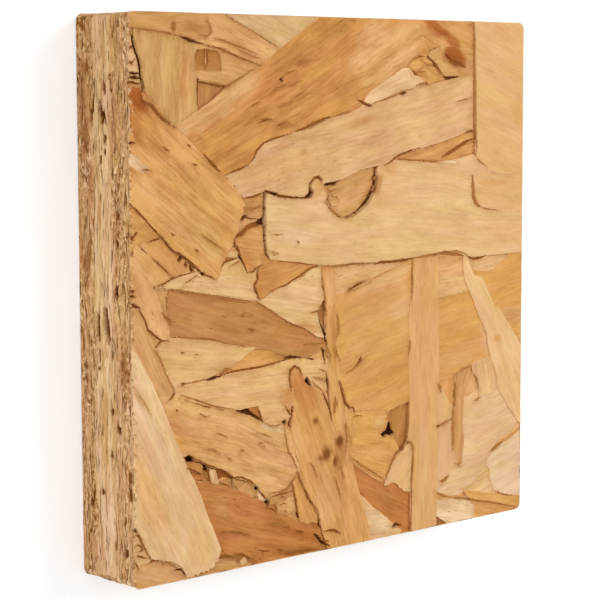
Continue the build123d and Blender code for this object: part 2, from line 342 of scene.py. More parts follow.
# Strength of the grain where it isn't 1: smooth strands below it and rough ones above
FIGURE = {
    "mid_long": 0.6, "right_strand": 0.45, "right_patch": 0.45, "pink_upright": 0.6, "pale_strip": 0.6,
    "pink_plank": 0.85, "pink_field": 0.65, "pale_corner": 0.65, "amber_field": 0.65, "orange_right": 0.6,
    "yellow_right": 0.6, "amber_corner": 0.6, "gap": 0.9, "left_honey": 1.25, "streaky_honey": 1.25,
    "amber_big": 1.2, "upright_tan": 1.1, "russet_bottom": 1.15, "left_pale_low": 0.4, "left_pale_high": 0.4,
    "pale_diagonal": 0.75, "pale_square": 0.4, "pale_low": 0.6, "pale_yellow": 0.8,
}

# A gap: what shows at its bottom, how deep it is and its outline. Gaps lie on top of every strand.
Gap = namedtuple("Gap", "tone depth outline")

GAPS = [
    Gap("cream_pink", 0.2, [(23.9, 1.5), (25.1, 2), (25.7, 1.1), (24.5, 0.5)]),
    Gap("gap", 1.1, [(15.5, 20.4), (16.7, 20.1), (16.5, 19), (16, 19.2), (15.7, 19.4)]),
    Gap("umber", 0.7, [(16.4, 19.5), (16.9, 19.4), (17.3, 17), (16.7, 17.1)]),
    Gap("dusk", 0.6, [(15.5, 19.2), (16.5, 19.3), (16.8, 17.2), (15.5, 17.8)]),
    Gap("umber", 0.8, [
        (18.6, 19.3), (20.4, 18.8), (21.6, 18), (22.5, 17), (21.6, 17), (20.4, 17.4), (19.1, 17.2)]),
    Gap("umber", 0.8, [(10.1, 57.2), (11, 58), (11.4, 57.6), (10.6, 56.7)]),
    Gap("umber", 0.7, [(11.7, 56.3), (12.1, 56.8), (12.5, 56.2), (12.1, 55.6)]),
    Gap("umber", 0.8, [(12.8, 55.6), (13.1, 56.3), (14, 55), (13.2, 54.8)]),
    Gap("dusk", 0.4, [
        (19, 2.7), (20.2, 3.3), (21.6, 2.7), (23, 3), (24.6, 2.7), (26.2, 1.6), (28, 0.7), (26.6, 0.6),
        (25.2, 1.5), (24, 1.1), (22.6, 2), (21, 2.2)]),
    Gap("dusk", 0.7, [(43.4, 45.5), (43.9, 46.8), (44.9, 47.7), (45.2, 46), (45, 42), (44.2, 43.6)]),
    Gap("brown", 0.6, [
        (14.9, 90.1), (20.6, 90), (20.3, 92.7), (19.6, 93.3), (17, 93.7), (15.8, 93.6), (15, 93)]),
    Gap("gap", 1.1, [
        (30.1, 68.2), (30.7, 68.3), (30.6, 64), (30.4, 60), (30.9, 57.2), (31.5, 56), (30.4, 57),
        (29.9, 60), (30, 64)]),
    Gap("gap", 0.9, [(28.2, 62.9), (29.8, 63.9), (30.2, 62.4), (28.8, 62.4)]),
    Gap("umber", 0.6, [
        (23.3, 60.3), (25.2, 61.9), (26.6, 62.8), (28.4, 62.9), (28.6, 62.3), (26.6, 61.7),
        (24.6, 60.6)]),
    Gap("gap", 0.9, [(24.6, 63.3), (25.4, 64.3), (26, 64.2), (25.3, 63.6)]),
    Gap("gap", 0.8, [(32.2, 68.1), (33.4, 67.9), (33.8, 67.5), (32.6, 67.5)]),
    Gap("gap", 0.8, [(40.6, 67), (41.3, 68.4), (42.1, 67.6), (41.7, 66.9)]),
    Gap("umber", 0.6, [
        (30.4, 68.6), (33.3, 68), (34, 67.6), (37, 67.2), (40, 67), (41, 67.6), (41.1, 69.4),
        (42.2, 70.5), (43.6, 70.8), (44.6, 70.1), (44.2, 69.9), (43.4, 70.4), (42.4, 70.1), (41.5, 69.2),
        (42.2, 67.7), (41.6, 66.9), (40, 66.7), (36.8, 66.9), (33.8, 67.2), (32.6, 67.7), (30.5, 68.3)]),
    # Painted shadow: the dark crescent that the wall of the half-round hollow casts on its floor
    Gap("gap", 0.8, [
        (57.9, 71.2), (58.7, 70.4), (58.6, 69.2), (58, 67.5), (56.4, 65.4), (54, 63.8), (52, 62.9),
        (49.8, 62.6), (51.8, 63.3), (53.6, 64.4), (55.4, 66), (56.8, 67.8), (57.4, 69.4), (57.5, 70.4)]),
    Gap("umber", 0.7, [(14.7, 90.2), (15.2, 90.2), (15.2, 92.6), (16, 93.6), (15.2, 93.5), (14.7, 92.8)]),
    Gap("umber", 0.9, [(14.9, 84), (15.3, 83.9), (15.3, 88.5), (14.9, 88.6)]),
    Gap("umber", 0.5, [
        (38, 79.1), (40.4, 79.8), (42.2, 80.6), (44.8, 81.4), (46.6, 81.7), (44.8, 80.9), (42.2, 79.9),
        (40, 79.3)]),
    Gap("gap", 0.9, [(45, 68.8), (45.2, 69.3), (47.4, 69.5), (48.8, 69.8), (47.6, 69)]),
    Gap("umber", 0.8, [(64.3, 85.7), (65.2, 86.3), (66.2, 86.1), (65.6, 85.6)]),
    Gap("umber", 0.6, [(53.4, 84.7), (55, 84.3), (57.2, 83.6), (56.4, 83.4), (54.6, 84)]),
    Gap("pit", 1.4, [(11.4, 22.1), (12.2, 22.5), (13.6, 21.9), (13.5, 21.2), (12.5, 21.1), (11.8, 21.4)]),
    Gap("pit", 1, [
        (59.4, 20.6), (60.5, 21), (61.1, 21.6), (61.4, 22.7), (62.1, 22.5), (62.6, 21.4), (63.1, 20.4),
        (62.2, 19.9), (61.4, 20.3), (60.4, 19.8)]),
    Gap("pit", 0.9, [(39.9, 32.9), (40.3, 33.7), (40.8, 33.4), (41.2, 32.6), (41.6, 31.9), (40.7, 32.2)]),
    Gap("umber", 0.8, [(36.6, 28.6), (37.1, 28.4), (36.6, 26.4), (36.4, 24.6), (36, 24.8), (36.3, 26.6)]),
    Gap("gap", 0.9, [(34.3, 26), (35, 26.2), (35.5, 25.6), (34.8, 25.2)]),
    Gap("gap", 0.9, [(24, 29.1), (26.2, 29.2), (26.6, 28.4), (25.8, 28.2)]),
    Gap("umber", 0.8, [(39.6, 12.6), (40.3, 12), (41.2, 10.4), (42, 9.2), (41, 9.9), (40.2, 11)]),
    Gap("gap", 1, [(30.1, 11.6), (30.7, 12), (31.2, 11.3), (30.6, 10.7)]),
    Gap("gap", 0.9, [(27.5, 14.3), (27.9, 14.9), (28.5, 14.3), (28, 14)]),
    Gap("umber", 0.9, [(-0.6, 62), (0.6, 61.6), (1.2, 62.4), (1.7, 62.6), (1.1, 61.4), (0.7, 60.9)]),
    Gap("umber", 0.7, [(-0.6, 50.6), (1, 50.1), (2.2, 49.3), (1, 49.5), (-0.6, 50.1)]),
    Gap("umber", 0.7, [(-0.6, 77.9), (0.8, 77.9), (1.6, 77.7), (0.6, 77.5), (-0.6, 77.6)]),
    Gap("umber", 0.8, [(8.6, 2.3), (10.6, 2.4), (11.4, 1), (11, 1.2), (10.4, 2)]),
    Gap("umber", 0.7, [(64.4, 16.6), (65.4, 17.3), (66.6, 18.3), (66.4, 17.5), (65.2, 16.6)]),
    Gap("umber", 0.6, [(-0.6, 10.9), (0.6, 10.9), (0.7, 10.5), (-0.6, 10.4)]),
]

# Cracks of one kind: what shows in them, their depth and greatest width, and the way each one runs.
# Cracks lie on top of every strand too.
Cracks = namedtuple("Cracks", "tone depth width paths")

CRACKS = [
    Cracks("gap", 0.45, 0.6, [
        [(11.6, 95.7), (13.4, 95.2), (16.2, 94.6)], [(34.1, 88.6), (34.5, 88.4), (34.8, 88.1)],
        [(23.9, 57.4), (24.4, 56.7), (25.1, 56)], [(16.4, 35.4), (18.2, 35.6), (20.4, 36)],
        [(76.3, 89), (78, 88.8), (80.6, 89.1)],
        [(23.2, 29.2), (25, 28.7), (26.6, 28.3), (28, 27.5), (29.8, 26.4)],
        [(37.5, 8.5), (37.9, 7.9), (38.1, 7.2)]]),
    Cracks("gap", 0.7, 0.6, [
        [(0.9, 97), (1, 95.2), (1.5, 93.6), (2.1, 92.2), (2.6, 90.6), (2.7, 89), (3.3, 86.9)],
        [(-0.3, 89.7), (1.2, 89.4), (2.4, 89.4)], [(-0.3, 88.8), (1.4, 88.7), (2.7, 88.6)],
        [(15.3, 54.7), (15.9, 54.4), (16.6, 54.1)], [(34.8, 37.6), (36.4, 37.7), (38.9, 37.4)],
        [(42, 3.7), (43.1, 2.9), (44, 1.8), (46.2, 0.7)], [(43, 6.4), (43.3, 5.4), (43.9, 4.5)],
        [(45.2, 34), (45.7, 31.6), (45.6, 30.2)],
        [(43.2, 45.7), (43.9, 43.6), (44.6, 42), (45.1, 40.4), (45.4, 39.2)],
        [(44.1, 38.8), (44.6, 38), (44.9, 35.6)]]),
    Cracks("gap", 0.6, 0.8, [[(62.6, 1.9), (63.5, 2.2), (64.8, 2)]]),
    Cracks("umber", 0.4, 0.4, [
        [(16, 94.6), (20.5, 93.8), (25, 92.2), (29.4, 91)],
        [(9, 59), (10.8, 58.1), (12.8, 56.9), (15.4, 55)], [(16.3, 54.2), (17.6, 53.7), (18.8, 53.1)],
        [(20.1, 55.3), (21, 56.1), (22.4, 56.5), (24.4, 56.9)],
        [(23.1, 60.2), (23.8, 58.2), (24.5, 56.8), (25.3, 55.6), (26.2, 53.9)],
        [(28.4, 54.3), (28.6, 52.6), (27.8, 51.5), (28.2, 50.4), (29.1, 48.8)],
        [(1.8, 49), (3, 47.2), (3.7, 45.4), (5, 44.4), (6.6, 43.3), (8.2, 43.1)],
        [(28.4, 29.5), (28.8, 28.2), (29.5, 26.6)],
        [(13.6, 21.7), (15.6, 20.6), (17, 19.9), (18.8, 19.3)],
        [(22.2, 17.2), (24.6, 16.8), (26.6, 15.8), (28, 14.8)],
        [(28.1, 14.4), (29.4, 12.9), (30.4, 11.7)],
        [(36.6, 14.7), (37, 12.8), (37.4, 11), (37.8, 8.8), (38.4, 6.8)],
        [(37.7, 16.3), (38.6, 14.4), (40, 12.1)], [(43.6, 1.7), (44.6, 1.8), (45.8, 1.7)]]),
    Cracks("umber", 0.65, 0.45, [
        [(-0.5, 93.7), (0.5, 93.7), (1.4, 94)], [(0.2, 91.4), (0.9, 91.1), (1.5, 91.9)],
        [(-0.4, 87.9), (1, 87.9), (2.5, 87.6)], [(17.5, 93.5), (17.5, 92), (17.4, 90.6)],
        [(-0.5, 52.5), (0.3, 52.3), (0.9, 52.4)], [(-0.5, 51.9), (0.3, 51.5), (0.9, 51.4)]]),
    Cracks("umber", 0.3, 0.55, [
        [(16.4, 75.4), (18, 73.8), (20, 72.2)],
        [(57.7, 53.5), (59.4, 53.8), (62, 53.7), (65, 53.8), (68.4, 54.1)],
        [(83.6, 53.5), (85.2, 52.9), (87, 53), (88.9, 53.4)],
        [(76.9, 93.5), (78.4, 92.1), (80.4, 91.6), (82.6, 90.9)], [(37.5, 4.9), (38.4, 4.6), (39.4, 4.4)],
        [(35, 1.2), (38.6, 0.8), (42.4, 0.6)], [(44.6, 3.8), (46.4, 3.7), (47.4, 3.5), (48.8, 2.7)],
        [(3.4, 4.4), (4, 4.8), (5.6, 4.5)],
        [(36.6, 31.4), (36.1, 33.6), (36.3, 35.2), (37.3, 35.9), (38.5, 35.4), (39.4, 34.2)],
        [(67.9, 8.8), (67.7, 6.4), (67.6, 3), (67.5, 0.4)]]),
    Cracks("umber", 0.25, 0.4, [
        [(20.8, 71.5), (23, 72.2), (25, 72.7), (26.6, 73.3)],
        [(26.4, 73.2), (28, 74.6), (28.5, 75.7), (30.2, 77.1), (33, 77.9), (37, 78.7)],
        [(3.3, 84.7), (5, 83.9), (6.6, 82.3), (8.8, 80.9)],
        [(-0.2, 67.6), (1.4, 66.3), (3, 64.9), (5, 62.9), (7, 61.1)],
        [(3.8, 60.6), (5.2, 60.9), (7, 61.2)], [(4.7, 57.9), (7, 56), (9.4, 54)],
        [(5.1, 52.7), (7.4, 53.2), (9.4, 54.1), (11.6, 54.5), (14, 54.8)],
        [(26.1, 54), (27.4, 54), (28.2, 54.6), (29.8, 55.2)], [(25.1, 67.3), (27.6, 67.5), (30.2, 68.3)],
        [(5, 42.2), (6.2, 43), (7.1, 43.5)], [(9.3, 34.7), (9.2, 33.8), (8.6, 33), (7.7, 32.6)],
        [(19.8, 36), (23, 36.4), (28, 36.5), (32, 36.8), (35.6, 37.4)],
        [(40.6, 37), (41.6, 36.8), (42.8, 36.7)],
        [(31.6, 50.3), (35.2, 51), (37, 51.8), (40, 53.1), (41.5, 53.9), (43.6, 54.2)],
        [(51, 49.1), (52.4, 49.6), (53.8, 50.1), (55, 50.4)], [(68.7, 92.4), (69.7, 92.9), (70.9, 92.8)],
        [(71.1, 87.8), (71.8, 87.6), (72.6, 87.6)], [(72.1, 93.1), (74, 91.3), (75.6, 89.9), (76.8, 89)],
        [(60.4, 72.3), (62, 72.8), (64, 73.9), (67, 74.8), (70, 75.4)],
        [(0.3, 9.9), (1.1, 9.6), (1.9, 9)], [(0.3, 8.2), (1.4, 7.8), (2.2, 6.9)],
        [(0.6, 6.2), (1.8, 5.7), (3, 5.3)], [(0.3, 5.2), (0.7, 4.4), (1.2, 3.6)],
        [(19, 2.9), (20.4, 3.2), (21.6, 2.7), (22.9, 2.2)],
        [(22.9, 2.7), (24.4, 2.6), (25.6, 1.9), (27.2, 0.8)], [(34.9, 28.7), (35.8, 27.6), (36.4, 26.7)],
        [(11.8, 20.2), (13.4, 19.5), (15.4, 18.6)], [(31.6, 12.2), (34, 12.4), (37, 12.6)],
        [(30.1, 10.4), (31.6, 10), (32.8, 9.2)], [(32.5, 10.8), (32.7, 9.9), (32.6, 9.1)],
        [(1, 6.8), (1.6, 6.9), (2.4, 7.4)], [(51.1, 26.7), (52.2, 26.5), (52.6, 25.4)]]),
    Cracks("umber", 0.12, 0.4, [
        [(29, 80.6), (30.2, 81.1), (32, 81.4)], [(33, 80), (34.4, 80.4), (36, 80.8)],
        [(12.6, 77.2), (13, 77), (13.5, 76.7)], [(7.6, 76.8), (8.1, 76.4), (8.8, 76.1)],
        [(13.8, 73.9), (14.4, 73.6), (15, 73.6)], [(8.8, 62), (9.3, 61.5), (9.7, 61.6)],
        [(14.2, 58.8), (14.6, 58.6), (15, 58.3)], [(2.9, 73.2), (3.8, 73), (4.8, 72.9)],
        [(26.6, 43.6), (27, 43.4), (27.4, 43.3)], [(10.8, 35.5), (11.2, 35.3), (11.7, 35.3)],
        [(9.5, 30.9), (9.8, 30.7), (10.1, 30.6)], [(22.4, 7.1), (24.2, 6.6), (26.4, 5.9)],
        [(28.2, 2.8), (29.4, 2.4), (30.8, 2.2)], [(32.9, 2.2), (33.6, 1.9), (34.4, 1.8)]]),
    Cracks("umber", 0.45, 0.55, [
        [(6.8, 61.3), (8, 60), (9.2, 58.8)], [(67.9, 90.2), (68.5, 89.6), (69.3, 89.3)],
        [(44.5, 30.1), (45.2, 28.9), (46, 27.4), (46.7, 24.8)],
        [(48.7, 31.9), (49.5, 29.7), (50.3, 27.6), (51.4, 26.6)]]),
    Cracks("umber", 0.2, 0.8, [
        [(76, 73.4), (78, 74.2), (80, 75.1), (83, 76.3), (85.4, 77)],
        [(53.4, 34.9), (54, 35.5), (54.3, 36.2)], [(74.8, 20.3), (75.3, 20.2), (75.9, 20.2)]]),
    Cracks("brown", 0.1, 0.5, [
        [(25.2, 46.3), (26.2, 46.4), (27.4, 46.2)], [(80, 30.2), (82, 30.9), (84.4, 31.4), (85, 30)],
        [(80.3, 12.1), (81.3, 11.8), (82.4, 12.1)]]),
    Cracks("brown", 0.1, 0.8, [
        [(79.5, 23.8), (79.4, 20), (79.5, 17), (79.5, 14.8)],
        [(85.2, 29.8), (86.2, 28.6), (86.8, 26.8)]]),
    Cracks("dusk", 0.2, 0.4, [
        [(0.3, 97.1), (4, 96.8), (8, 96.4), (11.8, 95.7)],
        [(15.6, 88.2), (18, 87.8), (21.5, 87.2), (24, 88.3), (28, 90.2)],
        [(6, 52.5), (10, 51.9), (15, 50.9), (20, 50), (25, 49), (28, 48.6)],
        [(27.8, 48.7), (30, 47.5), (33.2, 45.9)], [(43.4, 53.9), (48, 53.7), (52, 53.9), (56, 53.8)],
        [(34.8, 25.2), (35.3, 22.4), (35.8, 20), (36.8, 18.8), (38, 16.4)],
        [(31.2, 12.9), (33.4, 12.9), (35.4, 13.2), (36.6, 14.3), (37.8, 15.8)],
        [(0.5, 10.9), (1.5, 8.8), (2.6, 6.8), (3.6, 5)], [(43.4, 34.8), (44.4, 34.4), (45.2, 34.2)],
        [(45.5, 38.6), (46, 37.2), (46.2, 35.8)]]),
    Cracks("dusk", 0.1, 0.4, [
        [(19, 95.6), (21, 95.2), (23, 94.6), (25.2, 94), (28.6, 92.9)],
        [(34.8, 88.9), (36, 89.7), (38, 90.1)], [(10.7, 40.9), (11.1, 40.8), (11.7, 40.7)],
        [(40.6, 39.8), (42.6, 39.5), (44.6, 39.6)], [(31.4, 57.5), (32.4, 57.1), (33.6, 57)],
        [(38.2, 59), (38.4, 58.8), (38.6, 58.6)], [(85.4, 73.7), (87, 72.2), (89, 71.2)],
        [(15.5, 96.2), (17.5, 95.9), (18.4, 96.6), (18.1, 97.8), (17.3, 98.7)],
        [(24.2, 21.9), (24.7, 21.7), (25.2, 21.6)], [(21.3, 20.8), (21.7, 20.6), (22.1, 20.3)],
        [(34.6, 9.4), (35, 9), (35.4, 8.7)], [(19.4, 7.4), (21.4, 7.2), (23.2, 6.9)],
        [(30, 7.4), (33, 6.9), (35.6, 6)], [(47.3, 14), (48.1, 11.8), (48.9, 9.8)],
        [(48.2, 44.6), (48.5, 42.5), (48.6, 41), (47.9, 40.5)],
        [(41.2, 45.4), (42.4, 45.6), (43.6, 45.8)], [(50, 33.3), (52, 33.8), (53.8, 35)],
        [(68.1, 54), (67.9, 51), (67.9, 48.6), (67.8, 46)]]),
    Cracks("dusk", 0.15, 0.35, [
        [(46.4, 81.4), (49, 82), (52.4, 82.6)], [(36, 87.2), (37.4, 87.5), (39.2, 88.2)],
        [(37.2, 85), (38.5, 85.5), (40.4, 86.6)], [(31.8, 86), (33.4, 86.9), (35.2, 87.4)],
        [(11.6, 52.9), (13.2, 53.5), (14.8, 54.2)], [(21.8, 55.1), (23.4, 55.8), (24.9, 56.4)],
        [(25.5, 65.6), (27.6, 65.4), (30.1, 65.7)],
        [(5.1, 41.8), (6.2, 40.2), (7.2, 37.9), (8.2, 36), (9.3, 34.6)],
        [(8.2, 43.8), (12, 43.3), (17, 42.7), (21, 41.6), (25.4, 40.7)],
        [(45.1, 66), (46.4, 64.5), (48, 63.3), (50, 62.7)], [(86.8, 63.3), (89, 62.7), (92, 62.4)],
        [(70.1, 92.4), (72, 91.2), (74, 91.2)], [(69, 89.9), (70, 89.9), (71.4, 90)],
        [(63, 73.4), (68, 73), (72, 72.8), (75, 72.6)],
        [(57, 83.9), (60, 84.6), (63, 85.5), (65, 86.2), (68, 86.7)],
        [(67.6, 86.7), (70, 87.6), (72, 88)], [(28.6, 22.6), (29.1, 22.5), (29.6, 22.3)],
        [(10.6, 33.4), (14.5, 31.9), (18, 30.6), (23, 29.4)], [(19.1, 16.5), (20.3, 16.1), (21.4, 15.6)],
        [(22.4, 16.1), (23, 15.4), (23.6, 14.7)], [(41.9, 9.3), (43, 8), (43.5, 6.2)],
        [(33, 11.4), (34, 11.9), (35, 11.6)], [(33.4, 10.4), (34.4, 10.6), (35.4, 10.3)],
        [(5.4, 4.5), (8, 3.8), (10.4, 2.6)], [(41.6, 32.6), (43.2, 31.4), (44.8, 30.2)],
        [(42, 33.4), (43.6, 33), (45, 32.4)], [(52.2, 24.8), (53.2, 24.8), (54.6, 24.7)],
        [(48.9, 15.6), (49.3, 14.4), (49.9, 13.4)], [(47.8, 38.6), (48, 37.2), (48.8, 35.8)],
        [(44, 53.4), (44.4, 51), (44.9, 48.4), (45.3, 45)],
        [(52, 16.8), (54, 15.4), (57, 13.6), (60.4, 11.6)]]),
    Cracks("dusk", 0.1, 0.3, [
        [(26.4, 83.2), (27.8, 83.9), (29.4, 84.4)], [(33.8, 83.4), (35.4, 84), (37, 84.4)],
        [(15.8, 61.4), (17, 60.4), (19, 59.3), (20.8, 58.3)], [(8.3, 52.1), (7.7, 50.4), (7.8, 48.2)],
        [(13.9, 40.3), (14.3, 40.1), (14.8, 40.1)],
        [(45.9, 66.6), (46.8, 66.9), (48, 66.7), (48.6, 65.8)],
        [(45.2, 68.4), (46.4, 67.8), (48.4, 68.2)], [(32, 60.6), (33.2, 60.4), (34.6, 60.4)],
        [(79.6, 84), (82.4, 84.6), (85, 84.9)], [(71.7, 93.4), (73, 94.2), (75.4, 94.9)],
        [(21.6, 99.7), (25, 98.1), (30, 95.9), (33.6, 94.2)],
        [(14.8, 29.6), (15.6, 29.2), (16.4, 28.8), (17, 28.9)], [(18.6, 25.6), (20, 25.2), (21, 24.6)],
        [(28, 24.6), (30, 24), (31.8, 23.2)], [(17, 22.9), (18.4, 22.5), (19.4, 21.9)],
        [(11.6, 32.3), (16, 30.8), (20.4, 29.7)],
        [(29.5, 26.5), (31.4, 25.5), (33.2, 25.3), (34.6, 25.7)],
        [(50.2, 23.6), (50.5, 20.6), (50.2, 17.6)], [(41, 17.4), (42, 16.4), (43, 14.6)]]),
    # Painted shade: broad soft lines beside the walls of higher strands, such as the left sides of
    # right_strand, right_patch and grey_bar
    Cracks("dusk", 0.2, 0.9, [
        [(20.6, 56), (21.6, 56.6), (23.4, 56.6)], [(19.6, 36.2), (20.8, 36.8), (22.4, 36.8)],
        [(74.4, 54.5), (77, 54.6), (79.8, 54.2), (82.3, 53.7)],
        [(84.8, 99.8), (85, 96), (85.1, 92), (85.2, 88), (85.3, 83), (85.4, 79), (85.7, 75), (85.6, 73.4)],
        [(84.8, 69.6), (84.9, 67.6), (85.1, 65.4), (85.8, 64.1), (87.2, 63.2)],
        [(47.6, 29.2), (47.6, 27.8), (47.5, 26.2)], [(79.8, 23.8), (79.9, 26), (79.9, 28.6)],
        [(75.3, 28.8), (75.7, 28), (76.3, 26.9)], [(75.8, 9.1), (76.7, 9), (77.6, 9.4), (78.4, 10)],
        [(90.4, 13.1), (92, 14), (94, 14.9)]]),
    Cracks("dusk", 0.2, 0.55, [
        [(6.7, 48.3), (7.4, 47.2), (8.3, 46.6), (9.6, 46.3)], [(68, 54.1), (72, 54.3), (75, 54.5)],
        [(82.6, 78.1), (84, 78.4), (85.2, 78.4)],
        [(66.4, 18.6), (65, 17.4), (63.6, 16.2), (62.4, 14.6), (61.4, 12.8), (60.8, 11.5)],
        [(67.4, 38), (67.3, 36.8), (67, 35.4)],
        [(66.4, 18.3), (67.6, 17.9), (68.4, 16.6), (68.2, 14), (67.9, 11), (67.7, 8)],
        [(85.6, 24.2), (86.6, 24.4), (87.6, 24.7)], [(75.4, 20.2), (77, 20.7), (79.4, 21.4)],
        [(74.9, 6.9), (76.5, 6.1), (78.6, 5.5)],
        [(78.2, 5.6), (83, 4.6), (87, 3.5), (91, 2.6), (98, 0.8)]]),
    Cracks("tan_dark", 0.1, 0.35, [
        [(54.8, 50.4), (58, 50.9), (61, 51.9), (65, 53)], [(32.4, 76.2), (35, 76.3), (37.4, 76.9)]]),
    Cracks("tan_dark", 0.1, 0.9, [[(93.4, 14.8), (96, 15.5), (99.6, 17.3)]]),
    Cracks("tan", 0.4, 0.4, [[(17, 93.6), (17, 92), (16.9, 90.2)]]),
    Cracks("grey_tan", 0.1, 0.4, [[(1.6, 34.2), (2.8, 32.6), (4.2, 30.4)]]),
    # These two are painted highlights: light lines along strand edges that catch the light
    Cracks("cream", 0.05, 0.3, [[(50.6, 48.7), (53, 49.4), (55, 49.9), (57, 50.2)]]),
    Cracks("ivory", 0.05, 0.6, [[(75.6, 72.3), (78, 72.5), (80.6, 72.3)]]),
]

# A stain: its tone and strength, its centre, length, width and turn. Stains are listed by strand.
Stain = namedtuple("Stain", "tone amount x y length width turn")

